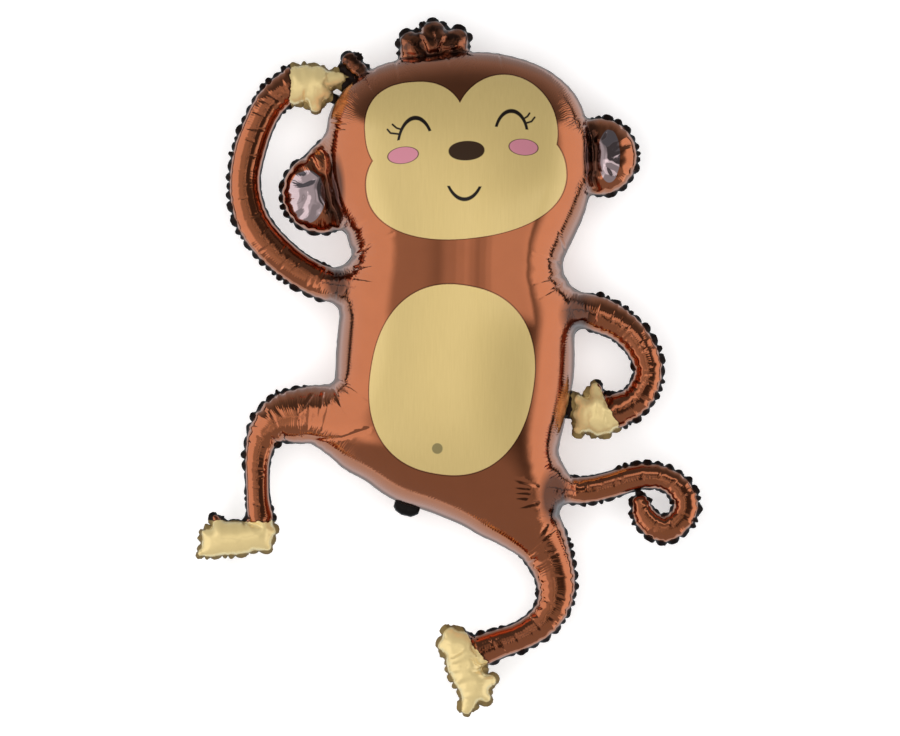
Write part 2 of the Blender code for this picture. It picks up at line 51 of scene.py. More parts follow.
HEAD = (
    (3.0, 45.0), (8.5, 44.4), (13.8, 42.5), (17.8, 39.1), (19.9, 34.4), (20.6, 29.2), (19.8, 23.9),
    (18.0, 19.2), (15.5, 14.9), (10.2, 11.0), (1.6, 9.5), (-7.0, 11.0), (-12.8, 15.0), (-14.9, 19.9),
    (-16.8, 23.9), (-17.5, 28.5), (-17.5, 33.2), (-16.5, 37.4), (-13.9, 40.8), (-8.9, 43.4), (-2.7, 44.5),
)
TORSO = (
    (1.6, 18.9), (13.1, 17.4), (16.2, 13.6), (17.5, 7.4), (17.8, 0.9), (17.2, -4.8), (15.8, -10.5),
    (14.6, -16.3), (13.9, -22.0), (10.9, -25.6), (6.6, -24.3), (3.0, -23.0), (-2.7, -20.7), (-7.5, -19.1),
    (-11.6, -16.4), (-14.8, -13.0), (-16.2, -9.1), (-16.2, -4.1), (-15.9, 3.1), (-15.1, 9.5),
    (-13.2, 15.0), (-9.2, 18.1),
)
NECK_FILLET = 2.0
RAISED_ARM = (
    (-12.5, 11.8, 2.9), (-17.1, 11.8, 2.3), (-21.4, 13.8, 2.2), (-25.2, 16.9, 2.25), (-27.9, 20.3, 2.2),
    (-29.1, 23.9, 2.1), (-29.3, 27.3, 2.0), (-28.6, 31.1, 2.1), (-27.4, 34.5, 2.0), (-25.9, 37.4, 2.0),
    (-24.1, 39.3, 2.1), (-22.2, 40.2, 2.3),
)
RAISED_HAND = (
    ((-22.0, 40.5, 2.3), (-19.7, 40.8, 2.0)),
    ((-19.7, 40.5, 1.6), (-17.5, 41.1, 1.1), (-15.9, 41.4, 0.9)),
    ((-19.7, 40.0, 1.4), (-17.8, 39.2, 0.8)),
    ((-19.7, 39.4, 1.3), (-19.2, 37.7, 0.9)),
    ((-20.9, 41.7, 1.3),),
    ((-18.8, 41.7, 1.1),),
)
SIDE_ARM = (
    (15.2, 8.4, 2.9), (18.8, 8.1, 2.4), (21.7, 7.4, 2.4), (24.2, 6.2, 2.15), (26.5, 4.2, 2.0),
    (28.1, 1.6, 1.9), (28.6, -0.8, 1.8), (27.8, -3.4, 1.9), (26.3, -5.2, 2.0), (24.2, -6.2, 2.2),
)
SIDE_HAND = (
    ((23.7, -6.7, 2.0), (21.7, -7.0, 2.2), (20.5, -7.1, 2.0)),
    ((21.4, -5.5, 1.3), (21.1, -3.5, 0.9)),
    ((20.2, -6.2, 1.3), (18.7, -4.9, 0.7)),
    ((19.9, -7.0, 1.3), (18.4, -6.8, 0.6)),
    ((20.2, -7.7, 1.3), (18.8, -8.8, 0.7)),
    ((22.4, -8.2, 1.3), (21.4, -8.8, 0.9)),
)
BENT_LEG = (
    (-12.1, -9.1, 5.9), (-17.8, -7.1, 4.3), (-21.7, -7.1, 3.7), (-24.1, -7.5, 3.1), (-26.0, -9.0, 2.4),
    (-27.0, -11.0, 1.9), (-27.5, -13.6, 1.6), (-27.5, -16.3, 1.5), (-27.4, -19.2, 1.5), (-27.1, -21.7, 1.7),
)
BENT_FOOT = (
    ((-27.0, -23.7, 1.7), (-29.3, -24.5, 2.1), (-32.0, -24.7, 2.2), (-33.6, -25.3, 1.65)),
    ((-32.7, -23.5, 1.0), (-33.4, -22.0, 0.5)),
    ((-33.9, -24.6, 1.0), (-34.9, -23.9, 0.4)),
    ((-33.7, -25.9, 1.0), (-35.3, -26.6, 0.5)),
    ((-27.1, -24.9, 1.3), (-26.3, -25.6, 0.6)),
    ((-26.8, -23.5, 1.1), (-25.8, -23.5, 0.6)),
)
STEPPING_LEG = (
    (8.2, -19.0, 5.7), (12.3, -23.6, 4.0), (14.4, -27.5, 3.0), (15.4, -31.2, 2.55), (14.9, -34.4, 2.2),
    (13.1, -36.9, 2.0), (10.2, -38.7, 1.85), (7.3, -39.7, 1.9), (4.7, -40.7, 2.1),
)
STEPPING_FOOT = (
    ((1.6, -40.1, 2.0), (2.2, -42.7, 2.3), (3.3, -45.6, 1.9)),
    ((0.4, -38.8, 1.1),),
    ((-0.4, -40.1, 0.9),),
    ((4.2, -45.3, 1.3), (5.7, -45.1, 0.8)),
    ((3.9, -46.1, 1.3), (5.2, -47.4, 0.6)),
    ((3.3, -46.7, 1.3), (2.6, -48.8, 0.8)),
)
TAIL = (
    (13.8, -16.6, 3.2), (16.8, -17.6, 1.9), (19.9, -17.7, 1.7), (23.1, -17.0, 1.7), (26.0, -16.1, 1.7),
    (28.8, -15.7, 1.6), (31.4, -16.3, 1.5), (33.3, -17.9, 1.6), (34.0, -20.0, 1.6), (33.1, -22.0, 1.6),
    (31.1, -23.3, 1.7), (29.1, -22.6, 1.6), (27.9, -21.2, 1.4), (27.5, -19.7, 1.1),
)
HAIR = (
    ((-5.3, 46.3, 1.6), (-5.3, 44.0, 1.6)),
    ((-2.2, 47.3, 2.0), (-2.2, 44.0, 2.0)),
    ((1.0, 46.7, 1.6), (1.0, 44.0, 1.6)),
)
HAIR_CURL = (((-14.1, 43.7, 1.1), (-12.2, 41.7, 1.0)),)
LEFT_EAR = (
    ((-18.2, 24.9, 5.5),),
    ((-18.2, 29.6, 2.0), (-17.1, 31.1, 1.4)),
)
RIGHT_EAR = (((21.4, 30.1, 5.3),),)
# Each limb: its strokes, the fillet where it joins the rest, the fillet between its own strokes, and
# how far its mouth at the body is drawn in.
LIMBS = (
    ((RAISED_ARM,), 2.6, 0, 0.5),
    ((SIDE_ARM,), 2.3, 0, 0.5),
    ((BENT_LEG,), 2.0, 0, 0),
    ((STEPPING_LEG,), 2.0, 0, 0.1),
    ((TAIL,), 2.6, 0, 0.5),
    (LEFT_EAR, 2.0, 0.7, 9.0),
    (RIGHT_EAR, 1.2, 0.7, 9.0),
    (HAIR, 1.1, 1.0, 6.0),
    (HAIR_CURL, 0.9, 0.7, 3.0),
    (RAISED_HAND, 0.7, 0.7, 0),
    (SIDE_HAND, 0.7, 0.7, 0),
    (BENT_FOOT, 0.7, 0.7, 0),
    (STEPPING_FOOT, 0.7, 0.7, 0),
)
MOUTH_BAND = 0.5
SWELLING_SWEEPS = 460
OVERSHOOT = 1.955


def in_metres(shares):
    return np.array(shares, float) * HEIGHT / 100


def smooth_path(points, closed=False):
    """A Catmull-Rom curve through the points, four pieces from each to the next."""
    count = len(points)
    pieces = []
    for i in range(count if closed else count - 1):
        if closed:
            before, start, end, after = (points[(i + k) % count] for k in (-1, 0, 1, 2))
        else:
            before, start, end, after = (points[min(max(i + k, 0), count - 1)] for k in (-1, 0, 1, 2))
        t = np.linspace(0, 1, 4, endpoint=False)[:, None]
        bend = 2 * before - 5 * start + 4 * end - after
        twist = -before + 3 * start - 3 * end + after
        pieces.append(start + 0.5 * ((end - before) * t + bend * t**2 + twist * t**3))
    if not closed:
        pieces.append(points[-1:])
    return np.vstack(pieces)


def distance_to_stroke(shares, x, y):
    path = smooth_path(in_metres(shares))
    nearest = np.hypot(x - path[0, 0], y - path[0, 1]) - path[0, 2]
    for start, end in zip(path[:-1], path[1:]):
        run = end[:2] - start[:2]
        along = ((x - start[0]) * run[0] + (y - start[1]) * run[1]) / max(run @ run, 1e-12)
        along = np.clip(along, 0, 1)
        off = np.hypot(x - start[0] - along * run[0], y - start[1] - along * run[1])
        nearest = np.minimum(nearest, off - start[2] - along * (end[2] - start[2]))
    return nearest


def inside_loops(loops, x, y):
    inside = np.zeros(np.shape(x), bool)
    for loop in loops:
        for start, end in zip(loop, np.roll(loop, -1, axis=0)):
            crosses = (start[1] > y) != (end[1] > y)
            rise = end[1] - start[1]
            at = start[0] + (y - start[1]) * (end[0] - start[0]) / (rise if rise else 1e-12)
            inside ^= crosses & (x < at)
    return inside


def distance_to_outline(shares, x, y):
    loop = smooth_path(in_metres(shares), closed=True)
    nearest = np.full(x.shape, np.inf)
    for start, end in zip(loop, np.roll(loop, -1, axis=0)):
        run = end - start
        along = np.clip(((x - start[0]) * run[0] + (y - start[1]) * run[1]) / (run @ run), 0, 1)
        nearest = np.minimum(nearest, np.hypot(x - start[0] - along * run[0], y - start[1] - along * run[1]))
    return np.where(inside_loops([loop], x, y), -nearest, nearest)


def joined(one, other, fillet):
    if not fillet:
        return np.minimum(one, other)
    radius = fillet * HEIGHT / 100
    share = np.clip(0.5 + 0.5 * (other - one) / radius, 0, 1)
    return other * (1 - share) + one * share - radius * share * (1 - share)


def balloon_fields(x, y):
    """Signed distance to the seam, and how strongly the sheets are held together at each point."""
    body = joined(distance_to_outline(HEAD, x, y), distance_to_outline(TORSO, x, y), NECK_FILLET)
    seam = body
    hold = np.zeros(x.shape)
    band = MOUTH_BAND * HEIGHT / 100
    for strokes, fillet, own_fillet, mouth in LIMBS:
        limb = distance_to_stroke(strokes[0], x, y)
        for stroke in strokes[1:]:
            limb = joined(limb, distance_to_stroke(stroke, x, y), own_fillet)
        seam = joined(seam, limb, fillet)
        across = max(point[2] for stroke in strokes for point in stroke) * HEIGHT / 100
        wall = mouth / (across * band * math.sqrt(math.pi)) * np.exp(-((body / band) ** 2))
        hold = np.where(limb < band, np.maximum(hold, wall), hold)
    return seam, hold


def swell(seam, hold):
    """Half the square of the inflated sheet's height: Poisson's equation inside the seam."""
    inside = seam < 0
    arms = []
    for axis, shift in ((1, -1), (1, 1), (0, -1), (0, 1)):
        beyond = np.roll(seam, shift, axis)
        reach = np.where(beyond < 0, 1.0, seam / np.minimum(seam - np.maximum(beyond, 0), -1e-9))
        arms.append(np.clip(reach, 0.05, 1.0))
    east, west, north, south = arms
    diagonal = 2 / (east * west) + 2 / (north * south) + hold * GRID_STEP**2
    weights = []
    for arm, opposite, axis, shift in ((east, west, 1, -1), (west, east, 1, 1),
                                       (north, south, 0, -1), (south, north, 0, 1)):
        linked = inside & (np.roll(seam, shift, axis) < 0)
        weights.append((np.where(linked, 2 / (arm * (arm + opposite)) / diagonal, 0), axis, shift))
    source = np.where(inside, GRID_STEP**2 / diagonal, 0)
    rows, columns = np.indices(seam.shape)
    colours = [np.where(inside & ((rows + columns) % 2 == parity), OVERSHOOT, 0) for parity in (0, 1)]
    swelling = np.zeros(seam.shape)
    for _ in range(SWELLING_SWEEPS):
        for colour in colours:
            settled = source.copy()
            for weight, axis, shift in weights:
                settled += weight * np.roll(swelling, shift, axis)
            swelling += colour * (settled - swelling)
    return swelling


def read_grid(grid, corner, points):
    """Values of a grid between its nodes, on a smooth curve through four of them each way."""
    column, row = ((points - corner) / GRID_STEP).T
    left = np.clip(column.astype(int), 1, grid.shape[1] - 3)
    low = np.clip(row.astype(int), 1, grid.shape[0] - 3)
    total = np.zeros(len(points))
    shares = []
    for t in (column - left, row - low):
        shares.append((-0.5 * t + t**2 - 0.5 * t**3, 1 - 2.5 * t**2 + 1.5 * t**3,
                       0.5 * t + 2 * t**2 - 1.5 * t**3, -0.5 * t**2 + 0.5 * t**3))
    for j in range(4):
        for i in range(4):
            total += shares[1][j] * shares[0][i] * grid[low + j - 1, left + i - 1]
    return total


def level_loops(grid, level, corner):
    """Closed curves where the grid has this value, with the lower values on their left."""
    low = grid < level
    columns = grid.shape[1]
    count = low[:-1, :-1].astype(int) + low[1:, :-1] + low[:-1, 1:] + low[1:, 1:]
    following = {}
    places = {}
    for row, column in zip(*np.nonzero((count > 0) & (count < 4))):
        cell = ((row, column), (row, column + 1), (row + 1, column + 1), (row + 1, column))
        leaving = []
        entering = []
        for k in range(4):
            start = cell[k]
            end = cell[(k + 1) % 4]
            if low[start] == low[end]:
                continue
            first = min(start, end)
            key = (first[0] * columns + first[1]) * 2 + (start[0] == end[0])
            share = (level - grid[start]) / (grid[end] - grid[start])
            places[key] = (start[1] + share * (end[1] - start[1]), start[0] + share * (end[0] - start[0]))
            (leaving if low[start] else entering).append(key)
        middle_is_low = grid[row:row + 2, column:column + 2].mean() < level
        if len(leaving) == 2 and middle_is_low != low[cell[0]]:
            entering.reverse()
        following.update(zip(leaving, entering))
    loops = []
    while following:
        key, after = following.popitem()
        loop = [key]
        while after != key:
            loop.append(after)
            after = following.pop(after)
        loops.append(np.array([places[k] for k in loop]) * GRID_STEP + corner)
    return sorted(loops, key=lambda loop: (-len(loop), loop[0, 0]))


def even_loop(loop, spacing):
    """The loop as points at an even spacing, its grid steps smoothed away."""
    for count, passes in ((2, 4), (1, 0)):
        steps = np.hypot(*(np.roll(loop, -1, axis=0) - loop).T)
        travelled = np.concatenate([[0], np.cumsum(steps)])
        number = max(int(round(travelled[-1] / spacing * count)), 8)
        at = np.arange(number) / number * travelled[-1]
        closed = np.vstack([loop, loop[:1]])
        loop = np.stack([np.interp(at, travelled, closed[:, k]) for k in (0, 1)], axis=1)
        for _ in range(passes):
            loop = 0.5 * loop + 0.25 * (np.roll(loop, 1, axis=0) + np.roll(loop, -1, axis=0))
    return loop


def lattice(spacing, low, high, lean):
    """A triangular lattice of points, each a little off its place so that no row lines up."""
    rows = np.arange(low[1], high[1], spacing * math.sqrt(3) / 2)
    columns = np.arange(low[0], high[0], spacing)
    x = columns[None, :] + np.where(np.arange(len(rows)) % 2, spacing / 2, 0)[:, None]
    y = np.repeat(rows[:, None], len(columns), axis=1)
    points = np.stack([x.ravel(), y.ravel()], axis=1)
    return points + np.random.default_rng(lean).uniform(-0.16, 0.16, points.shape) * spacing


# The weld stays flat, so each sheet is meshed from the weld inwards: close rings where the film
# turns up steeply out of the seam, then a lattice, wider in the broad middle of the body.
SEAM_SPACING = 0.0023
RINGS = (0.00025, 0.0009, 0.002, 0.0035, 0.0055)
EDGE_ZONE = 0.042
FRONT_SPACING = (0.0026, 0.0052)
BACK_SPACING = (0.004, 0.0074)

# Long creases run in from the seam at the neck, the hips and the top of the head, and short cracks
# cross the limbs. Each is meshed as three rows of points: its bottom and its two edges.
LONG_CREASES = (
    ((-13.6, 15.6), (-10.8, 17.4), (-7.7, 19.0)), ((-13.3, 14.0), (-9.9, 14.6)),
    ((-13.2, 12.6), (-9.9, 12.1)), ((15.8, 14.8), (11.9, 16.1)), ((16.5, 16.5), (15.4, 19.3)),
    ((15.8, 12.9), (11.9, 11.8)), ((15.8, 11.5), (12.7, 9.8)),
    ((-16.1, -1.9), (-13.8, -2.9), (-11.5, -4.6)), ((-16.6, -2.8), (-15.6, -4.9), (-14.2, -7.1)),
    ((-18.0, -3.9), (-18.4, -7.6)), ((-19.6, -4.2), (-21.3, -6.6), (-21.7, -8.0), (-21.2, -10.4)),
    ((-25.5, -6.5), (-24.2, -9.4)), ((-11.5, -8.9), (-15.2, -10.1), (-18.2, -10.2), (-21.4, -9.8)),
    ((-27.4, -9.9), (-26.3, -10.3)), ((-28.6, -10.8), (-27.7, -11.3)),
    ((12.5, -17.0), (9.5, -16.0)), ((11.2, -17.3), (9.2, -17.0)), ((11.2, -17.9), (9.1, -17.8)),
    ((11.0, -18.6), (9.1, -18.5)), ((12.5, -19.4), (9.1, -20.1)), ((14.0, -22.5), (12.5, -24.8)),
    ((15.0, -23.3), (11.0, -26.6)),
    ((-7.8, 43.9), (-7.2, 40.9)), ((-0.3, 44.9), (0.1, 42.6)), ((7.3, 44.6), (7.5, 42.6)),
    ((13.6, 43.1), (14.4, 41.9)), ((17.5, 39.7), (16.8, 39.0)), ((19.7, 36.0), (17.5, 35.2)),
    ((19.9, 34.7), (17.8, 34.0)), ((-16.6, 35.0), (-14.3, 34.7)), ((-16.6, 34.0), (-14.3, 33.9)),
    ((-15.6, 37.7), (-13.9, 37.4)),
)
LONG_CREASE_DEPTH = 0.0034
CRACK_DEPTH = 0.0016
CREASE_STEP = 0.0022
CREASE_HALF_WIDTH = 0.0022


def leftwards(runs):
    """Each direction turned a quarter to the left."""
    return np.stack([-runs[:, 1], runs[:, 0]], axis=1)


def crease_row(path, deepest, ease):
    """Points along a crease's bottom, the way across it at each, and its depth there."""
    travelled = np.concatenate([[0], np.cumsum(np.hypot(*np.diff(path, axis=0).T))])
    share = np.linspace(0, 1, max(int(travelled[-1] / CREASE_STEP), 4))
    middle = np.stack([np.interp(share * travelled[-1], travelled, path[:, k]) for k in (0, 1)], axis=1)
    run = np.gradient(middle, axis=0)
    run /= np.hypot(*run.T)[:, None]
    return middle, leftwards(run), deepest * ease(share)


def limb_cracks(rng):
    """Short creases across each limb, unevenly spaced, most of them over the outside of its bend."""
    rows = []
    for stroke in (RAISED_ARM, SIDE_ARM, BENT_LEG, STEPPING_LEG, TAIL):
        path = smooth_path(in_metres(stroke))
        travelled = np.concatenate([[0], np.cumsum(np.hypot(*np.diff(path[:, :2], axis=0).T))])
        at = 0.02
        while at < travelled[-1] - 0.01:
            x, y, radius = (np.interp(at, travelled, path[:, k]) for k in range(3))
            further = [np.interp(at + 0.02, travelled, path[:, k]) for k in (0, 1)]
            earlier = [np.interp(at - 0.02, travelled, path[:, k]) for k in (0, 1)]
            ahead = np.subtract(further, (x, y))
            behind = np.subtract((x, y), earlier)
            run = (ahead + behind) / np.hypot(*(ahead + behind))
            outer = -np.sign(behind[0] * ahead[1] - behind[1] * ahead[0]) or 1.0
            if rng.uniform() < 0.25:
                outer = -outer
            across = np.array([-run[1], run[0]]) * outer
            spot = np.array([x, y])
            ends = [spot + across * radius * rng.uniform(*reach) + run * radius * rng.uniform(-0.2, 0.2)
                    for reach in ((-0.5, 0.1), (0.45, 0.78))]
            clear = min(distance_to_outline(shape, *spot[:, None])[0] for shape in (HEAD, TORSO))
            if clear > 0.004:
                rows.append(crease_row(np.array(ends), CRACK_DEPTH * rng.uniform(0.5, 1.2),
                                       lambda share: np.sin(math.pi * np.clip(share, 0.06, 0.94)) ** 0.5))
            at += rng.uniform(0.011, 0.034)
    return rows


creases = []
for path in LONG_CREASES:
    deepest = LONG_CREASE_DEPTH * min(1.0, 0.4 + 0.15 * math.dist(path[0], path[-1]))
    creases.append(crease_row(in_metres(path), deepest, lambda share: 1 - 0.9 * share))
creases += limb_cracks(np.random.default_rng(5))


def loop_edges(loops):
    """The edges round closed loops whose points are numbered one loop after the other."""
    edges = []
    start = 0
    for loop in loops:
        edges += [(start + k, start + (k + 1) % len(loop)) for k in range(len(loop))]
        start += len(loop)
    return edges


def triangulated(points, edges):
    return delaunay_2d_cdt([Vector(point) for point in points], edges, [], 0, 1e-7)


def tree_of(points):
    tree = KDTree(len(points))
    for index, (x, y) in enumerate(points):
        tree.insert((x, y, 0), index)
    tree.balance()
    return tree


def sheet_mesh(seam, corner, seam_loops, ring_spacing, fine, broad, lean, creases=()):
    """Plan points and triangles of one sheet inside the seam. The seam's own points come first."""
    rings = [even_loop(loop, ring_spacing)
             for depth in RINGS[1:] for loop in level_loops(seam, -depth, corner)]
    first = [loop + RINGS[0] * leftwards(seam_heading(loop)) for loop in seam_loops]
    loops = seam_loops + first + rings
    low, high = in_metres(PATTERN_EDGES)
    near = lattice(fine, low, high, lean)
    near_depth = -read_grid(seam, corner, near)
    far = lattice(broad, low, high, lean + 1)
    far_depth = -read_grid(seam, corner, far)
    loose = np.vstack([near[(near_depth > RINGS[-1] + 0.5 * fine) & (near_depth < EDGE_ZONE)],
                       far[far_depth >= EDGE_ZONE + 0.3 * broad]])
    edges = loop_edges(loops)
    start = len(edges)
    rows = [middle + side * across for middle, across, _ in creases
            for side in (0, CREASE_HALF_WIDTH, -CREASE_HALF_WIDTH)]
    rows = [row[-read_grid(seam, corner, row) > RINGS[-1] + 0.6 * fine] for row in rows]
    if rows:
        taken = tree_of(np.vstack(rows))
        loose = loose[[taken.find((x, y, 0))[2] > 0.7 * fine for x, y in loose]]
    for row in rows:
        edges += [(start + k, start + k + 1) for k in range(len(row) - 1)]
        start += len(row)
    points, _, triangles, originals, _, _ = triangulated(np.vstack(loops + rows + [loose]), edges)
    points = np.array([tuple(point) for point in points])
    triangles = np.array(triangles)
    order = np.full(len(points), -1)
    for index, sources in enumerate(originals):
        if sources:
            order[index] = min(sources)
    triangles = triangles[inside_loops(seam_loops, *points[triangles].mean(axis=1).T)]
    seam_count = sum(len(loop) for loop in seam_loops)
    used = np.unique(triangles)
    keep = np.concatenate([[np.nonzero(order == k)[0][0] for k in range(seam_count)],
                           used[(order[used] >= seam_count) | (order[used] < 0)]]).astype(int)
    number = np.full(len(points), -1)
    number[keep] = np.arange(len(keep))
    return points[keep], number[triangles]


def seam_heading(loop):
    run = np.roll(loop, -1, axis=0) - np.roll(loop, 1, axis=0)
    return run / np.hypot(*run.T)[:, None]


def seam_bend(loop, reach):
    """Curvature of a seam, positive where the balloon bulges outwards, evened over a short reach."""
    heading = seam_heading(loop)
    steps = np.hypot(*(np.roll(loop, -1, axis=0) - np.roll(loop, 1, axis=0)).T)
    ahead = np.roll(heading, -1, axis=0)
    behind = np.roll(heading, 1, axis=0)
    bend = (behind[:, 0] * ahead[:, 1] - behind[:, 1] * ahead[:, 0]) / steps
    for _ in range(int((reach / SEAM_SPACING) ** 2 * 2)):
        bend = 0.5 * bend + 0.25 * (np.roll(bend, 1) + np.roll(bend, -1))
    return bend


def sheet_height(seam, swelling, corner, points, ring=0.006):
    """Height of the inflated sheet over the weld, and the radius it is rounded to. Close to the seam the
    height follows the slope further in."""
    depth = np.maximum(-read_grid(seam, corner, points), 0)
    slopes = np.gradient(seam, GRID_STEP)[::-1]
    outward = np.stack([read_grid(slope, corner, points) for slope in slopes], axis=1)
    outward /= np.maximum(np.hypot(*outward.T), 1e-9)[:, None]
    short = np.maximum(ring - depth, 0)
    probe = points - outward * short[:, None]
    ratio = read_grid(swelling, corner, probe) / np.maximum(-read_grid(seam, corner, probe), 1e-6)
    followed = depth * (ratio + short / 2)
    level = np.where(short > 0, followed, read_grid(swelling, corner, points))
    height = np.sqrt(2 * np.maximum(level, 1e-9))
    limit = (BODY_DEPTH / 2) ** -2 - height.max() ** -2
    return (height**-2 + limit) ** -0.5, level / np.maximum(depth, 1e-5) + depth / 2


margin = 2 * WELD_WIDTH + 4 * GRID_STEP
grid_low, grid_high = in_metres(PATTERN_EDGES) + ((-margin,), (margin,))
grid_x, grid_y = np.meshgrid(np.arange(grid_low[0], grid_high[0], GRID_STEP),
                             np.arange(grid_low[1], grid_high[1], GRID_STEP))
seam, hold = balloon_fields(grid_x, grid_y)
swelling = swell(seam, hold)
seam_loops = [even_loop(loop, SEAM_SPACING) for loop in level_loops(seam, 0, grid_low)]
front_plan, front_faces = sheet_mesh(seam, grid_low, seam_loops, SEAM_SPACING, *FRONT_SPACING, 11, creases)
back_plan, back_faces = sheet_mesh(seam, grid_low, seam_loops, 1.5 * SEAM_SPACING, *BACK_SPACING, 23)
seam_count = sum(len(loop) for loop in seam_loops)

# The welded sheets as one net: the seam, both sheets and the thin weld outside it, which is one layer
# until the film gets its thickness.
weld_loops = [even_loop(loop, SEAM_SPACING) for loop in level_loops(seam, WELD_WIDTH, grid_low)]


def weld_mesh():
    """The weld's triangles. Its points are the seam's and then those of its outer edge."""
    loops = seam_loops + weld_loops
    given = np.vstack(loops)
    points, _, triangles, _, _, _ = triangulated(given, loop_edges(loops))
    if len(points) != len(given):
        raise RuntimeError("the weld's loops touch")
    triangles = np.array(triangles)
    middles = given[triangles].mean(axis=1)
    return triangles[inside_loops(weld_loops, *middles.T) & ~inside_loops(seam_loops, *middles.T)]


weld_faces = weld_mesh()
weld_plan = np.vstack(weld_loops)
front_height, front_round = sheet_height(seam, swelling, grid_low, front_plan)
back_height, back_round = sheet_height(seam, swelling, grid_low, back_plan)
front_height[:seam_count] = 0
back_height[:seam_count] = 0
rest_level = -BODY_DEPTH / 2 + REST_PRESS
pressed = np.maximum(-back_height, rest_level)
inner_back = len(back_plan) - seam_count
film = np.vstack([
    np.column_stack([front_plan, front_height]),
    np.column_stack([back_plan[seam_count:], pressed[seam_count:]]),
    np.column_stack([weld_plan, np.zeros(len(weld_plan))]),
])


def renumbered(faces, offset):
    return np.where(faces < seam_count, faces, faces - seam_count + offset)


back_start = len(front_plan)
weld_start = back_start + inner_back
net_front = front_faces
net_back = renumbered(back_faces, back_start)[:, ::-1]
net_weld = renumbered(weld_faces, weld_start)

# Film that is welded flat and then blown up is too long along its edge: the seam is drawn in, so the
# film puckers across it. How much too long follows from the seam's bend and the balloon's roundness:
# nothing along a straight tube, most outside a tight curve and in round a corner like an armpit.
seam_points = np.vstack(seam_loops)
seam_heads = np.vstack([seam_heading(loop) for loop in seam_loops])
bends = np.concatenate([seam_bend(loop, 0.009) for loop in seam_loops])
PUCKER_GAP = 0.0215
MOST_SLACK = 0.17
seam_tree = tree_of(seam_points)


def nearest_seam(points):
    found = [seam_tree.find((x, y, 0)) for x, y in points]
    return np.array([place[1] for place in found]), np.array([place[2] for place in found])


roundness = np.concatenate([front_round, back_round[seam_count:], np.zeros(len(weld_plan))])
foot, depth = nearest_seam(film[:, :2])
depth[weld_start:] *= -1
depth[:seam_count] = 0
roundness[:seam_count] = 0
roundness = np.where(roundness > 0, roundness, 0)
seam_round = np.zeros(seam_count)
seam_hits = np.zeros(seam_count)
close = (depth > 0.0015) & (depth < 0.008)
np.add.at(seam_round, foot[close], roundness[close])
np.add.at(seam_hits, foot[close], 1)
offset = 0
for loop in seam_loops:
    here = slice(offset, offset + len(loop))
    total, hits = seam_round[here], seam_hits[here]
    for _ in range(12):
        total = total + np.roll(total, 1) + np.roll(total, -1)
        hits = hits + np.roll(hits, 1) + np.roll(hits, -1)
        total, hits = total / 3, hits / 3
    seam_round[here] = total / np.maximum(hits, 1e-9)
    offset += len(loop)
seam_round = np.clip(seam_round, 0.004, 0.16)
radius = np.where((roundness > 0) & (depth > 0.004), roundness, seam_round[foot])
radius = np.clip(radius, 0.004, 0.16)
inward = np.clip(depth, 0, None)
seam_inward = leftwards(seam_heads)
opposite, miss = nearest_seam(seam_points[foot] + seam_inward[foot] * 2 * radius[:, None])
tube = (miss < 0.4 * radius) & (radius < 0.07)
lift = np.arcsin(np.clip((radius - inward) / radius, 0, 1))
bend = bends[foot]
far_bend = bends[opposite]
bulge = np.clip(bend, 0, None)
hollow = np.clip(-bend, 0, None)
slack = bulge / np.clip(1 - bulge * inward, 0.35, 1) * radius * (lift - np.sin(lift))
inner = hollow / (1 + hollow * inward) * (radius * (math.pi / 2 - lift) - np.minimum(inward, radius))
slack += np.where(tube, 1, np.exp(-(inward / 0.035) ** 2)) * inner
far_hollow = np.clip(-far_bend, 0, None)
over = far_hollow / (1 + far_hollow * (2 * radius - inward)) * radius * (math.pi / 2 - 1)
slack += np.where(tube & (far_bend < bend), over, 0)
slack = np.where(depth < 0, np.maximum(slack, bulge * (0.57 * radius - depth)), slack)
slack = MOST_SLACK * np.tanh(slack / MOST_SLACK)

faces = np.vstack([net_front, net_back, net_weld])
ends = np.sort(np.vstack([faces[:, [0, 1]], faces[:, [1, 2]], faces[:, [2, 0]]]), axis=1)
edges = np.unique(ends, axis=0)
count = len(film)
near_end = np.concatenate([edges[:, 0], edges[:, 1]])
other = np.concatenate([edges[:, 1], edges[:, 0]])
order = np.argsort(near_end, kind="stable")
other = other[order]
starts = np.searchsorted(near_end[order], np.arange(count))
valence = np.diff(np.append(starts, len(order)))
owner = np.repeat(np.arange(count), valence)


def around(values):
    """The mean of each point's neighbours."""
    total = np.add.reduceat(values[other], starts)
    return total / (valence[:, None] if values.ndim > 1 else valence)


def fatness(radii):
    """0 where the film is as round as a limb, 1 where it is as broad as the head and body."""
    return np.clip((radii - 0.045) / 0.03, 0, 1)


# On the head and body part of the spare film is taken up by fine ribs, which the finish draws.
for _ in range(6):
    slack = 0.5 * slack + 0.5 * around(slack)
spare = slack
slack = slack * (1 - 0.58 * fatness(radius))

# Each pucker starts as a shallow crease across the seam. The creases stand unevenly, most of them die
# out close to the edge, and a few run far into the body.
PUCKER_LENGTHS = (0.012, 0.02, 0.034, 0.06)
PUCKER_SHARES = (0.3, 0.35, 0.25, 0.1)
VALLEY_WIDTH = 0.0028


def uneven_count(rng, loop, gap, spread):
    """How many gaps go round a loop, and how many lie before each point. Gaps differ by this spread."""
    length = len(loop) * SEAM_SPACING
    number = max(int(round(length / gap)), 4)
    gaps = rng.uniform(1 - spread, 1 + spread, number)
    places = np.concatenate([[0], np.cumsum(gaps)]) / gaps.sum() * length
    return number, np.interp(np.arange(len(loop)) * SEAM_SPACING, places, np.arange(number + 1))


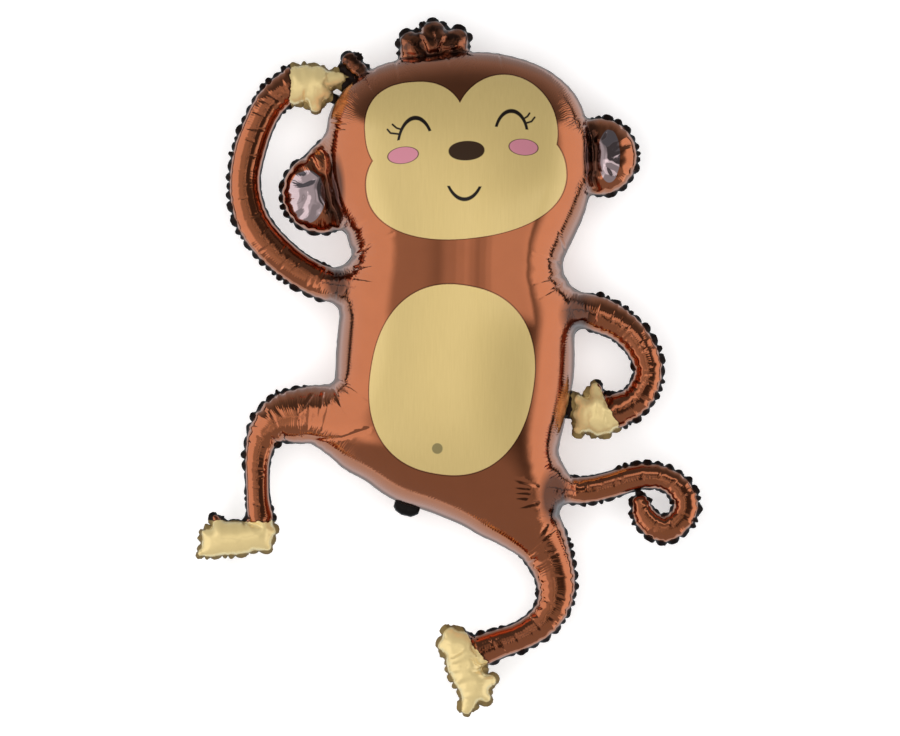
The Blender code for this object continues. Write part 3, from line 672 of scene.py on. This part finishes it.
rng = np.random.default_rng(7)
phase = np.zeros(seam_count)
reach = np.zeros(seam_count)
offset = 0
for loop in seam_loops:
    here = slice(offset, offset + len(loop))
    puckers, phase[here] = uneven_count(rng, loop, PUCKER_GAP, 0.4)
    lengths = rng.choice(PUCKER_LENGTHS, puckers + 1, p=PUCKER_SHARES)
    reach[here] = lengths[np.round(phase[here]).astype(int) % puckers]
    offset += len(loop)
leader = np.where(tube & (far_bend > bend), opposite, foot)
gap = np.abs(phase[leader] - np.round(phase[leader])) * PUCKER_GAP
valley = np.exp(-(gap / VALLEY_WIDTH) ** 2)
fade = np.where(tube | (radius < 0.035), 0.35 + 0.65 * np.sin(np.clip(lift, 0, None)) ** 2,
                np.exp(-(np.clip(depth, 0, None) / reach[leader]) ** 2))
creasing = 0.34 * PUCKER_GAP * np.sqrt(slack) * valley * fade

# A curved limb isn't smooth: between two creases its film runs straight, so it is a chain of facets.
share = phase[leader] - np.floor(phase[leader])
spine_bend = np.clip(bends[leader], 0, 1 / (2 * radius)) / (1 - np.clip(bends[leader] * radius, 0, 0.5))
chord = np.where(tube, PUCKER_GAP**2 / 8 * spine_bend * (1 - (2 * share - 1) ** 2), 0)


def summed_normals(points, triangles):
    """The triangles' normals, summed at each point."""
    corners = points[triangles]
    turned = np.cross(corners[:, 1] - corners[:, 0], corners[:, 2] - corners[:, 0])
    total = np.zeros((count, 3))
    for k in range(3):
        for axis in range(3):
            total[:, axis] += np.bincount(triangles[:, k], turned[:, axis], count)
    return total


def unit(vectors):
    return vectors / np.maximum(np.linalg.norm(vectors, axis=1), 1e-12)[:, None]


def facing(points):
    """Outward direction at each point. On the weld it lies flat and points away from the balloon."""
    total = summed_normals(points, faces[:-len(net_weld)])
    total[weld_start:, 0] = seam_heads[foot[weld_start:], 1]
    total[weld_start:, 1] = -seam_heads[foot[weld_start:], 0]
    return unit(total)


film[:, :2] += seam_inward[leader] * np.clip(chord, 0, 0.0012)[:, None]
settled = film.copy()
outwards = facing(film)
settled -= outwards * creasing[:, None]
ripple = rng.normal(0, 1, (count, 3))
for _ in range(4):
    ripple = 0.4 * ripple + 0.6 * around(ripple)
ripple *= 0.0009 / ripple.std()
settled += ripple * np.clip(slack / 0.06, 0, 1)[:, None]
settled[weld_start:, 2] += 3 * ripple[weld_start:, 2]

# Ears, hair, hands and feet are small and cut in at every finger, so their film is crumpled all over:
# a centre, a reach and how much too long the film is, each way.
CRUMPLED = (
    ((-18.2, 24.9), 6.2, 0.1), ((21.4, 30.1), 6.2, 0.1), ((-2.2, 46.8), 5.2, 0.12),
    ((-13.4, 42.9), 2.6, 0.1), ((-19.8, 40.4), 4.4, 0.09), ((20.9, -6.6), 4.2, 0.09),
    ((-30.9, -24.5), 5.4, 0.07), ((2.4, -43.5), 6.4, 0.08),
)
crumple = np.zeros(count)
for centre, reach_of, share in CRUMPLED:
    off = np.hypot(*(film[:, :2] * 100 / HEIGHT - centre).T)
    crumple = np.maximum(crumple, share * np.clip((reach_of - off) / 0.8, 0, 1))
off_head = distance_to_outline(HEAD, film[:, 0], film[:, 1])
crumple *= np.clip(depth / 0.012, 0.1, 1) * np.clip(off_head / 0.006, 0, 1)
dents = rng.normal(0, 1, count)
for _ in range(6):
    dents = 0.3 * dents + 0.7 * around(dents)
dents /= dents.std()
settled += outwards * (dents * crumple * 0.03)[:, None]

heading = seam_heads[foot]
run = film[other] - film[owner]
slackness = 0.5 * (slack[other] + slack[owner])
along = (run[:, :2] * (heading[other] + heading[owner] * np.sign(
    (heading[other] * heading[owner]).sum(axis=1))[:, None]) / 2).sum(axis=1)
slackness *= np.where(tube[owner], 0.25 + 0.75 * np.sin(np.clip(lift[owner], 0, None)) ** 2, 1)
rest = np.sqrt((run**2).sum(axis=1) + along**2 * ((1 + slackness) ** 2 - 1))
rest *= 1 + 0.5 * (crumple[owner] + crumple[other])

# The net settles step by step: each edge pulls to its own length, the film resists bending, and the gas
# presses it out, while a weak hold keeps it on the swelled shape. The back stays on the table.
SETTLING_STEPS = 300
KEPT_SPEED = 0.88
EDGE_PULL = 1.2
STIFFNESS = 0.05
SHAPE_HOLD = 0.0012
GAS_PRESS = 0.000003
speed = np.zeros_like(settled)
for step in range(SETTLING_STEPS):
    run = settled[other] - settled[owner]
    size = np.sqrt(np.einsum("ij,ij->i", run, run))
    pull = np.add.reduceat(run * (0.5 * (1 - rest / size))[:, None], starts) / valence[:, None]
    moved = settled - film
    bent = around(moved) - moved
    bent = bent - around(bent)
    if step % 20 == 0:
        outwards = facing(settled)
        outwards[weld_start:] = 0
    speed = (KEPT_SPEED * speed + EDGE_PULL * pull + STIFFNESS * bent
             - SHAPE_HOLD * moved + GAS_PRESS * outwards)
    settled += speed
    settled[back_start:weld_start, 2] = np.maximum(settled[back_start:weld_start, 2], rest_level)

# The long creases and the cracks are pressed in last: a sharp valley with a low shoulder on each side.
BOTTOM_WIDTH = 0.0013
SHOULDER_SHARE = 0.16
SHOULDER_PLACE = 0.0032
SHOULDER_WIDTH = 0.0014
depths = np.concatenate([depth_of for _, _, depth_of in creases])
valleys = tree_of(np.vstack([middle for middle, _, _ in creases]))
nearest = [valleys.find((x, y, 0)) for x, y in front_plan]
gap = np.array([place[2] for place in nearest])
bottom = np.exp(-(gap / BOTTOM_WIDTH) ** 2)
shoulder = np.exp(-((gap - SHOULDER_PLACE) / SHOULDER_WIDTH) ** 2)
pressed_in = depths[[place[1] for place in nearest]] * (bottom - SHOULDER_SHARE * shoulder)
pressed_in[:seam_count] = 0
settled[:back_start] -= facing(settled)[:back_start] * pressed_in[:, None]

# Outside a curve the weld is too long as well: it folds down behind the limb at every pucker and
# stands out between them as a row of small dark lobes.
LOBE_GAP = 0.0165
lobe = np.zeros(seam_count)
offset = 0
for loop in seam_loops:
    lobes, turn = uneven_count(rng, loop, LOBE_GAP, 0.5)
    size = rng.uniform(0.6, 1.15, lobes + 1)[np.floor(turn).astype(int)]
    lobe[offset:offset + len(loop)] = size * np.abs(np.sin(math.pi * turn)) ** 0.6
    offset += len(loop)
seam_slack = spare[:seam_count]
fold = np.clip(seam_slack / 0.07, 0, 1)
stand = 0.35 * (1 - fold) + fold * lobe
stand *= 1 - 0.88 * fatness(seam_round)
weld_foot = foot[weld_start:]
width = -depth[weld_start:]
outer = seam_points[weld_foot] - film[weld_start:, :2]
outer = -outer / np.maximum(np.hypot(*outer.T), 1e-9)[:, None]
tilt = np.arccos(np.clip(stand[weld_foot], 0.05, 1))
spread = np.cos(tilt) * (1 + 0.4 * fold[weld_foot]) - 1
carried = settled[weld_foot] - np.column_stack([film[weld_foot, :2], np.zeros(len(weld_foot))])
settled[weld_start:, :2] = film[weld_start:, :2] + carried[:, :2] + outer * (width * spread)[:, None]
settled[weld_start:, 2] = carried[:, 2] - width * np.sin(tilt)

# The film gets its thickness at the weld, where the two sheets lie on each other.
WELD_THICKNESS = 0.0007


def weld_facing(points):
    """Upward direction square to the weld, at each of its points."""
    total = unit(summed_normals(points, net_weld))
    return np.where(total[:, 2:] < 0, -total, total)


lift_off = weld_facing(settled) * WELD_THICKNESS / 2
shared = np.zeros(count, bool)
shared[:seam_count] = True
shared[weld_start:] = True
front_copy = settled + lift_off * shared[:, None]
back_copy = (settled - lift_off)[shared]
back_number = np.arange(count)
back_number[shared] = count + np.arange(shared.sum())
vertices = np.vstack([front_copy, back_copy])
plan_of = np.vstack([film, film[shared]])
offset = weld_start
rim = []
for loop in weld_loops:
    ring = offset + np.arange(len(loop))
    after = np.roll(ring, -1)
    rim.append(np.stack([after, ring, back_number[ring]], axis=1))
    rim.append(np.stack([after, back_number[ring], back_number[after]], axis=1))
    offset += len(loop)
rim = np.vstack(rim)
all_faces = np.vstack([net_front, net_weld, back_number[net_back], back_number[net_weld][:, ::-1], rim])
is_back = np.zeros(len(all_faces), np.int32)
is_back[len(net_front) + len(net_weld):] = 1

middle = (weld_plan.min(axis=0) + weld_plan.max(axis=0)) / 2
vertices = vertices + (-middle[0], -middle[1], BODY_DEPTH / 2 - REST_PRESS)
mesh = bpy.data.meshes.new("foil_envelope")
mesh.vertices.add(len(vertices))
mesh.vertices.foreach_set("co", vertices.astype(np.float32).ravel())
mesh.loops.add(3 * len(all_faces))
mesh.loops.foreach_set("vertex_index", all_faces.astype(np.int32).ravel())
mesh.polygons.add(len(all_faces))
mesh.polygons.foreach_set("loop_start", np.arange(0, 3 * len(all_faces), 3, dtype=np.int32))
mesh.polygons.foreach_set("material_index", is_back)
mesh.update()
mesh.validate()
mesh.shade_smooth()

# The prints are placed as they show from straight above, from this height over the table.
VIEW_HEIGHT = 12.0
SEAM_LEVEL = BODY_DEPTH / 2 - REST_PRESS
PIXEL = HEIGHT / 697
VIEW_CENTRE = np.array([450 - 449, 366.5 - 368]) * PIXEL
seen = VIEW_CENTRE + (plan_of[:, :2] - VIEW_CENTRE) * (
    (VIEW_HEIGHT - SEAM_LEVEL) / (VIEW_HEIGHT - SEAM_LEVEL - plan_of[:, 2]))[:, None]
places = np.column_stack([seen, plan_of[:, 2]]) * 100 / HEIGHT
pattern = mesh.attributes.new("pattern_place", "FLOAT_VECTOR", "POINT")
pattern.data.foreach_set("vector", places.astype(np.float32).ravel())

# Fine ribs stand in the film beside the seam, about 4 mm apart: their count along the seam and their share.
RIB_GAP = 0.0042
rib_run = np.concatenate([np.arange(len(loop)) * round(len(loop) * SEAM_SPACING / RIB_GAP) / len(loop)
                          for loop in seam_loops])[foot]
rib_run = rib_run + ((film[:, :2] - seam_points[foot]) * seam_heads[foot]).sum(axis=1) / RIB_GAP
beside_seam = np.exp(-((depth - 0.018) / 0.016) ** 2)
rib_share = np.clip(spare / 0.03, 0, 1) * beside_seam * np.where(radius > 0.035, 1, 0.3)
for name, values in (("rib_run", rib_run), ("rib_share", rib_share),
                     ("weld_share", shared), ("pucker", slack)):
    attribute = mesh.attributes.new(name, "FLOAT", "POINT")
    attribute.data.foreach_set("value", np.concatenate([values, values[shared]]).astype(np.float32))
foil_envelope = bpy.data.objects.new("foil_envelope", mesh)
bpy.context.scene.collection.objects.link(foil_envelope)
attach(foil_envelope, "root")
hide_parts("monkey_foil_balloon")


# The film is metallised polyester under a clear copper-brown lacquer. The face and the belly are printed
# on its front in pale gold, and so are the hands and the feet on both sides.
BROWN_LACQUER = ((0.56, 0.172, 0.07, 1), (0.63, 0.196, 0.08, 1))
# Painted shade for the hair tufts and the curl.
TUFT_PAINTED_SHADE = (0.09, 0.03, 0.014, 1)
# Painted shade for the deep folds.
FOLD_PAINTED_SHADE = (0.045, 0.016, 0.009, 1)
GOLD_PRINT = ((0.7, 0.515, 0.205, 1), (0.77, 0.58, 0.24, 1))
PALE_GOLD = (0.92, 0.71, 0.33, 1)
PRINT_EDGE = (0.07, 0.028, 0.012, 1)
EAR_SILVER = (0.72, 0.55, 0.57, 1)
CHEEK_PINK = (0.72, 0.28, 0.35, 1)
FACE_INK = (0.008, 0.005, 0.004, 1)
NOSE_BROWN = (0.03, 0.014, 0.006, 1)
BELLY_MARK = (0.3, 0.24, 0.1, 1)
# The two weld colours are partly the double film's own darker colour and partly painted shade.
WELD_FILM_AND_SHADE = (0.01, 0.005, 0.004, 1)
WELD_GOLD_AND_SHADE = (0.26, 0.18, 0.07, 1)
ARC_HALF_WIDTH = 0.25
MOUTH_HALF_WIDTH = 0.23
LASH_HALF_WIDTH = 0.14
CRINKLE_SCALE = 260.0
RIB_DEPTH = 0.11


class Tone:
    """A shader socket with arithmetic: an expression on tones adds the Math nodes that work it out."""

    def __init__(self, tree, socket):
        self.tree = tree
        self.socket = socket

    def made(self, kind, settings, sockets, output=0):
        node = self.tree.nodes.new(kind)
        for name, value in settings.items():
            if name == "stops":
                for stop, (place, colour) in zip(node.color_ramp.elements, value):
                    stop.position = place
                    stop.color = colour
            else:
                setattr(node, name, value)
        for place, value in sockets.items():
            if isinstance(value, Tone):
                self.tree.links.new(value.socket, node.inputs[place])
            else:
                node.inputs[place].default_value = value
        return Tone(self.tree, node.outputs[output])

    def math(self, operation, *values):
        return self.made("ShaderNodeMath", {"operation": operation}, dict(enumerate(values)))

    def __add__(self, other):
        return self.math("ADD", self, other)

    def __sub__(self, other):
        return self.math("SUBTRACT", self, other)

    def __rsub__(self, other):
        return self.math("SUBTRACT", other, self)

    def __mul__(self, other):
        return self.math("MULTIPLY", self, other)

    def __truediv__(self, other):
        return self.math("DIVIDE", self, other)

    def __pow__(self, other):
        return self.math("POWER", self, other)

    __radd__ = __add__
    __rmul__ = __mul__


def foil_finish(name, printed):
    """The film's finish. Prints are drawn in the flat pattern's own measure, hundredths of the height."""
    material = bpy.data.materials.new(name)
    material.use_nodes = True
    tree = material.node_tree
    shader = tree.nodes["Principled BSDF"]
    kit = Tone(tree, None)
    place = kit.made("ShaderNodeAttribute", {"attribute_name": "pattern_place"}, {}, 1)
    x = kit.made("ShaderNodeSeparateXYZ", {}, {0: place}, 0)
    y = kit.made("ShaderNodeSeparateXYZ", {}, {0: place}, 1)
    weld = kit.made("ShaderNodeAttribute", {"attribute_name": "weld_share"}, {}, 2)
    puckered = kit.made("ShaderNodeAttribute", {"attribute_name": "pucker"}, {}, 2)
    spot = kit.made("ShaderNodeTexCoord", {}, {}, 3)

    def oval(centre, radii, power=2.0, lean=0.0):
        """Distance out from an oval's edge, negative inside."""
        u = (x - centre[0]) * (math.cos(lean) / radii[0]) + (y - centre[1]) * (math.sin(lean) / radii[0])
        v = (y - centre[1]) * (math.cos(lean) / radii[1]) - (x - centre[0]) * (math.sin(lean) / radii[1])
        size = (kit.math("ABSOLUTE", u) ** power + kit.math("ABSOLUTE", v) ** power) ** (1 / power)
        return (size - 1) * ((radii[0] + radii[1]) / 2)

    def stroke(start, end):
        """Distance from a short straight stroke."""
        run = (end[0] - start[0], end[1] - start[1])
        square = run[0] ** 2 + run[1] ** 2
        share = kit.made("ShaderNodeClamp", {}, {
            0: (x - start[0]) * (run[0] / square) + (y - start[1]) * (run[1] / square)})
        return kit.math("SQRT", (x - start[0] - share * run[0]) ** 2 + (y - start[1] - share * run[1]) ** 2)

    def side_of(start, end):
        """Distance to the left of a line through two points."""
        run = (end[0] - start[0], end[1] - start[1])
        length = math.hypot(*run)
        return (y - start[1]) * (run[0] / length) - (x - start[0]) * (run[1] / length)

    def cover(distance, soft=0.05):
        """1 inside a drawn shape and 0 outside, with an edge this soft."""
        return kit.made("ShaderNodeMapRange", {}, {0: distance, 1: -soft, 2: soft, 3: 1.0, 4: 0.0})

    def either(*shapes):
        whole = shapes[0]
        for shape in shapes[1:]:
            whole = kit.math("MINIMUM", whole, shape)
        return whole

    def both(*shapes):
        whole = shapes[0]
        for shape in shapes[1:]:
            whole = kit.math("MAXIMUM", whole, shape)
        return whole

    def over(under, colour, share):
        return kit.made("ShaderNodeMix", {"data_type": "RGBA"}, {0: share, 6: under, 7: colour}, 2)

    grain = kit.made("ShaderNodeTexNoise", {}, {"Vector": place, "Scale": 0.35, "Detail": 3.0})
    brown = over(*BROWN_LACQUER, grain)
    # Painted shade: patches of the hair tufts and the curl are coloured darker, standing in for the dark
    # reflections of their crumpled film. The gaps between the patches keep the foil's own glints.
    tuft_shade = either(oval((-2.2, 47.0), (5.6, 3.3)), oval((-13.6, 43.1), (2.4, 2.4)))
    wobble = kit.made("ShaderNodeTexNoise", {}, {"Vector": place, "Scale": 0.9, "Detail": 2.0})
    patchy = kit.made("ShaderNodeMapRange", {}, {0: wobble, 1: 0.4, 2: 0.56, 3: 0.95, 4: 0.4})
    brown = over(brown, TUFT_PAINTED_SHADE, cover(tuft_shade, 0.4) * patchy)
    # Painted shade: the film is coloured darker in the deep folds where the ears, the raised arm, the side
    # arm and the tail join the head and body.
    folds = either(oval((-16.4, 25.0), (1.5, 5.2)), oval((20.4, 30.1), (1.3, 4.8)),
                   oval((18.3, 7.4), (2.2, 2.6)), oval((15.0, -18.6), (2.0, 3.6)),
                   oval((-15.9, 11.9), (1.6, 2.4)))
    brown = over(brown, FOLD_PAINTED_SHADE, cover(folds, 0.8) * 0.85)
    cuffs = []
    for start, towards, reach in (((-22.7, 40.4), (1.0, 0.0), 9.0), ((23.6, -7.03), (-0.873, -0.485), 6.6),
                                  ((-27.0, -22.2), (0.0, -1.0), 11.0), ((4.1, -40.6), (-0.79, -0.61), 11.0)):
        beyond = (x - start[0]) * -towards[0] - (y - start[1]) * towards[1]
        cuffs.append(both(beyond, kit.math("SQRT", (x - start[0]) ** 2 + (y - start[1]) ** 2) - reach))
    cuffs[0] = both(cuffs[0], side_of((-13.8, 42.5), (-18.3, 36.5)), side_of((-17.0, 43.3), (-13.6, 40.8)))
    cuffs[1] = both(cuffs[1], 17.6 - x)
    gold = either(*cuffs) + (wobble - 0.5) * 0.9
    pale_share = cover(gold)
    if printed:
        mask = either(oval((-4.72, 33.78), (7.2, 6.91), 2.38, 0.08),
                      oval((8.1, 33.76), (7.33, 7.99), 2.0, 0.26),
                      oval((2.46, 26.82), (14.27, 8.43), 2.23, 0.115))
        belly = oval((0.43, -1.85), (11.59, 13.6), 2.32, -0.166)
        gold = either(gold, mask, belly)
    gold_share = cover(gold)
    streaks = kit.made("ShaderNodeMapping", {}, {0: place, 3: (5.0, 0.25, 1.0)})
    streaks = kit.made("ShaderNodeTexNoise", {}, {"Vector": streaks, "Scale": 1.2, "Detail": 2.0})
    paint = over(*GOLD_PRINT, streaks)
    paint = over(paint, PALE_GOLD, pale_share)
    colour = over(brown, paint, gold_share)
    colour = over(colour, PRINT_EDGE, cover(kit.math("ABSOLUTE", gold - 0.09) - 0.06) * 0.8)
    metal = 1 - gold_share * 0.6
    rough = 0.1 + gold_share * 0.22 - pale_share * 0.08
    ears = either(oval((-20.3, 24.4), (2.5, 3.6)), oval((22.9, 30.2), (1.5, 3.6)))
    ear_share = cover(ears)
    colour = over(colour, EAR_SILVER, ear_share)
    if printed:
        def arc(middle, radii, half_width, *cut):
            """A drawn line along the part of an oval on one side of a cut."""
            return both(kit.math("ABSOLUTE", oval(middle, radii)) - half_width, side_of(*cut))

        lashes = either(stroke((-8.03, 34.65), (-7.46, 34.15)), stroke((-7.46, 34.15), (-6.74, 33.93)),
                        stroke((-8.75, 33.93), (-8.32, 33.43)), stroke((-8.32, 33.43), (-7.17, 33.29)),
                        stroke((11.48, 36.23), (11.19, 35.8)), stroke((11.19, 35.8), (10.62, 35.44)),
                        stroke((12.2, 35.65), (11.76, 35.08)), stroke((11.76, 35.08), (11.05, 34.86)))
        eyes = either(arc((-4.76, 31.22), (2.52, 4.37), ARC_HALF_WIDTH, (-2.73, 33.7), (-7.17, 32.4)),
                      arc((8.88, 33.1), (2.29, 3.46), ARC_HALF_WIDTH, (11.19, 33.9), (6.89, 34.3)),
                      arc((2.21, 28.64), (2.82, 4.66), MOUTH_HALF_WIDTH, (-0.07, 25.9), (4.45, 25.82)),
                      lashes - LASH_HALF_WIDTH)
        cheeks = either(oval((-6.53, 30.27), (2.2, 1.18), 2.0, 0.14),
                        oval((10.62, 31.42), (2.08, 1.15), 2.0, -0.09))
        nose = oval((2.51, 30.92), (2.58, 1.39), 2.1, 0.05)
        dark = either(eyes, kit.math("ABSOLUTE", cheeks) - 0.05)
        colour = over(colour, CHEEK_PINK, cover(cheeks))
        colour = over(colour, FACE_INK, cover(dark))
        colour = over(colour, NOSE_BROWN, cover(nose))
        colour = over(colour, BELLY_MARK, cover(oval((-1.65, -11.69), (0.76, 0.76))))
        ink = either(eyes, nose)
        metal = metal * (1 - cover(ink) * 0.9)
        rough = rough + cover(ink) * 0.1
    # The weld is coloured near-black, dark gold in the hands and feet, and made dull. This is partly the
    # double film's own darker colour and partly painted shade standing in for the dark reflections of its
    # lobes.
    colour = over(colour, over(WELD_FILM_AND_SHADE, WELD_GOLD_AND_SHADE, pale_share), weld)
    metal = metal * (1 - weld * 0.85)
    rough = rough + weld * 0.3
    crinkle = kit.made("ShaderNodeTexNoise", {}, {"Vector": spot, "Scale": CRINKLE_SCALE, "Detail": 2.0})
    run = kit.made("ShaderNodeAttribute", {"attribute_name": "rib_run"}, {}, 2)
    share = kit.made("ShaderNodeAttribute", {"attribute_name": "rib_share"}, {}, 2)
    sway = kit.made("ShaderNodeTexNoise", {}, {"Vector": place, "Scale": 0.7, "Detail": 1.0})
    ribs = kit.math("SINE", (run + sway * 1.6) * (2 * math.pi)) * share
    height = crinkle * (0.012 + puckered * 0.35) + ribs * RIB_DEPTH
    bump = kit.made("ShaderNodeBump", {}, {"Strength": 1.0, "Distance": 0.001, "Height": height})
    coat = (1 - weld) * 0.4
    for socket, value in (("Base Color", colour), ("Metallic", metal), ("Roughness", rough),
                          ("Coat Weight", coat), ("Normal", bump)):
        tree.links.new(value.socket, shader.inputs[socket])
    shader.inputs["Specular IOR Level"].default_value = 0.2
    shader.inputs["Coat Roughness"].default_value = 0.05
    shader.inputs["Coat IOR"].default_value = 1.55
    return material


mesh.materials.append(foil_finish("printed_foil", True))
mesh.materials.append(foil_finish("brown_foil", False))

# The filling tab is a dark tongue of the same film, left open to blow the balloon up through. It comes
# out of the weld below the belly, bends over and hangs straight down.
TAB_PLACE = (-6.0, -20.0)
TAB_WIDTH = 0.042
TAB_LENGTH = 0.062
TAB_REACH = 0.019
TAB_BEND_RADIUS = 0.01
TAB_THICKNESS = 0.0018
TAB_ROOT = 0.012
TAB_COLUMNS = 8


def tab_rows():
    """Down the tab's middle: how far out, how far down, how far bent over, and half its width."""
    level_run = TAB_REACH - TAB_BEND_RADIUS
    turns = np.linspace(0, math.pi / 2, 9)
    rows = [(-TAB_ROOT, 0.0, 0.0, TAB_WIDTH / 2), (0.0, 0.0, 0.0, TAB_WIDTH / 2)]
    rows += [(level_run + TAB_BEND_RADIUS * math.sin(turn), TAB_BEND_RADIUS * (math.cos(turn) - 1), turn,
              TAB_WIDTH / 2) for turn in turns]
    corner = TAB_WIDTH / 4
    rows += [(TAB_REACH, -down, math.pi / 2, TAB_WIDTH / 2)
             for down in np.linspace(TAB_BEND_RADIUS, TAB_LENGTH - corner, 6)[1:]]
    rows += [(TAB_REACH, -TAB_LENGTH + corner * (1 - math.sin(turn)), math.pi / 2,
              TAB_WIDTH / 2 - corner * (1 - math.cos(turn))) for turn in turns[1:-1]]
    return rows


def filling_tab():
    place = in_metres(TAB_PLACE)
    slopes = np.gradient(seam, GRID_STEP)[::-1]
    slope = np.array([read_grid(grid, grid_low, place[None])[0] for grid in slopes])
    towards = slope / math.hypot(*slope)
    place = place - towards * read_grid(seam, grid_low, place[None])[0]
    points = []
    for out, down, turn, half in tab_rows():
        normal = np.array([math.sin(turn), math.cos(turn)])
        waves = [0.0006 * math.sin(2.5 * k + 60 * down) for k in range(TAB_COLUMNS + 1)]
        for side in (1, -1):
            for k in range(TAB_COLUMNS + 1)[::side]:
                along, level = (out, down) + normal * (waves[k] + side * TAB_THICKNESS / 2)
                share = 2 * k / TAB_COLUMNS - 1
                across = half * share
                along -= 0.45 * max(along, 0) * abs(share) ** 3
                plan = place + towards * along + (-towards[1] * across, towards[0] * across) - middle
                points.append((*plan, SEAM_LEVEL + level))
    ring = 2 * (TAB_COLUMNS + 1)
    rows = len(points) // ring
    sides = [(r * ring + k, r * ring + (k + 1) % ring, (r + 1) * ring + (k + 1) % ring, (r + 1) * ring + k)
             for r in range(rows - 1) for k in range(ring)]
    ends = [tuple(range(ring))[::-1], tuple(range((rows - 1) * ring, rows * ring))]
    tongue = bpy.data.meshes.new("filling_tab")
    tongue.from_pydata(points, [], sides + ends)
    tongue.shade_smooth()
    return tongue


dark_film = bpy.data.materials.new("dark_film")
dark_film.use_nodes = True
tab_finish = dark_film.node_tree.nodes["Principled BSDF"].inputs
tab_finish["Base Color"].default_value = (0.005, 0.004, 0.0035, 1)
tab_finish["Roughness"].default_value = 0.3
tab_finish["Specular IOR Level"].default_value = 0.2
tab = bpy.data.objects.new("filling_tab", filling_tab())
tab.data.materials.append(dark_film)
bpy.context.scene.collection.objects.link(tab)
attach(tab, "root")
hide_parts("monkey_foil_balloon")


# A pale floor, with soft light from wide panels round the balloon.
def panel(name, place, aim, size, power):
    light = bpy.data.lights.new(name, "AREA")
    light.shape = "RECTANGLE"
    light.size, light.size_y = size
    light.energy = power
    lamp = bpy.data.objects.new(name, light)
    lamp.location = place
    lamp.rotation_euler = (Vector(aim) - Vector(place)).to_track_quat("-Z", "Y").to_euler()
    bpy.context.scene.collection.objects.link(lamp)
    return lamp


floor_mesh = bpy.data.meshes.new("floor")
floor_mesh.from_pydata([(-6, -6, 0), (6, -6, 0), (6, 6, 0), (-6, 6, 0)], [], [(0, 1, 2, 3)])
floor = bpy.data.objects.new("floor", floor_mesh)
bpy.context.scene.collection.objects.link(floor)
pale_floor = bpy.data.materials.new("pale_floor")
pale_floor.use_nodes = True
floor_finish = pale_floor.node_tree.nodes["Principled BSDF"].inputs
floor_finish["Base Color"].default_value = (0.9, 0.9, 0.9, 1)
floor_finish["Roughness"].default_value = 0.8
floor_finish["Emission Color"].default_value = (1, 1, 1, 1)
floor_finish["Emission Strength"].default_value = 0.35
floor_mesh.materials.append(pale_floor)
floor.visible_glossy = False
fill = panel("overhead_fill", (0.0, 0.0, 4.6), (0, 0, 0), (3.6, 3.6), 190)
fill.visible_glossy = False

# Cards over the right shoulder light the neck's right side. Their left edges are staggered, so that the
# reflection fades in towards them.
CARD_RIGHT = 0.73
CARD_ROW = 0.18
CARD_POWER = 0.083
for edge in (0.01, 0.05, 0.09, 0.13, 0.17, 0.21):
    across = CARD_RIGHT - edge
    card_middle = edge + across / 2
    neck_card = panel("neck_card", (card_middle, CARD_ROW, 0.6 + edge / 4), (card_middle, CARD_ROW, 0),
                      (across, 0.27 - 0.4 * edge), CARD_POWER * across)
    neck_card.visible_camera = False
    neck_card.visible_diffuse = False


def studio_sky():
    """Light walls on both sides of the table, a dim ceiling, and a cool glow from the floor beyond."""
    world = bpy.data.worlds.new("studio")
    world.use_nodes = True
    bpy.context.scene.world = world
    kit = Tone(world.node_tree, None)
    towards = kit.made("ShaderNodeTexCoord", {}, {}, 0)
    east, north, up = (kit.made("ShaderNodeSeparateXYZ", {}, {0: towards}, k) for k in range(3))

    def ramp(value, start, end):
        return kit.made("ShaderNodeMapRange", {"interpolation_type": "SMOOTHSTEP"},
                        {0: value, 1: start, 2: end, 3: 0.0, 4: 1.0})

    west = 0 - east
    down = 0 - up
    head = ramp(north, 0.44, 0.56)
    foot = ramp(0 - north, 0.25, 0.5)
    beside = (1 - head) * ramp(north, -0.68, -0.56)
    left = (ramp(west, 0.05, 0.4) * 0.2 + ramp(west - up, -0.05, 0.25) * 0.52) * beside
    right = ramp(east - up, 0.35, 0.7) * beside * 0.78
    hood = ramp(east, 0.12, 0.25) * (1 - ramp(east, 0.75, 0.92)) * (1 - foot) * (1 - head) * 0.17
    strip = (1 - ramp(kit.math("ABSOLUTE", east), 0.08, 0.2)) * (1 - ramp(north, 0.05, 0.25)) * (1 - foot)
    low = ramp(down + foot * 0.2, 0.47, 0.57) * (1 - ramp(down, 0.8, 0.95) * 0.65)
    upper = 0.23 + foot * 0.07 + strip * ramp(up, 0.0, 0.3) * 0.27 - hood + left + right
    ceiling = ramp(up, -0.42, -0.32) * upper + low * 0.85
    light = ceiling * (1 - head) + head * (0.11 + ramp(down, -0.4, 0.8) * 0.3)
    tint = kit.made("ShaderNodeMix", {"data_type": "RGBA"},
                    {0: kit.math("MAXIMUM", head * 0.6, low), 6: (1, 1, 1, 1), 7: (0.75, 0.9, 1.0, 1)}, 2)
    background = world.node_tree.nodes["Background"]
    world.node_tree.links.new(tint.socket, background.inputs["Color"])
    world.node_tree.links.new(light.socket, background.inputs["Strength"])


studio_sky()
bpy.context.scene.view_settings.view_transform = "Standard"

# The camera looks straight down, through a long lens, as at a flat lay.
lens = bpy.data.cameras.new("camera")
lens.sensor_width = 36
lens.lens = 36 * (VIEW_HEIGHT - SEAM_LEVEL) / (900 * PIXEL)
camera = bpy.data.objects.new("camera", lens)
camera.location = (VIEW_CENTRE[0] - middle[0], VIEW_CENTRE[1] - middle[1], VIEW_HEIGHT)
bpy.context.scene.collection.objects.link(camera)
bpy.context.scene.camera = camera
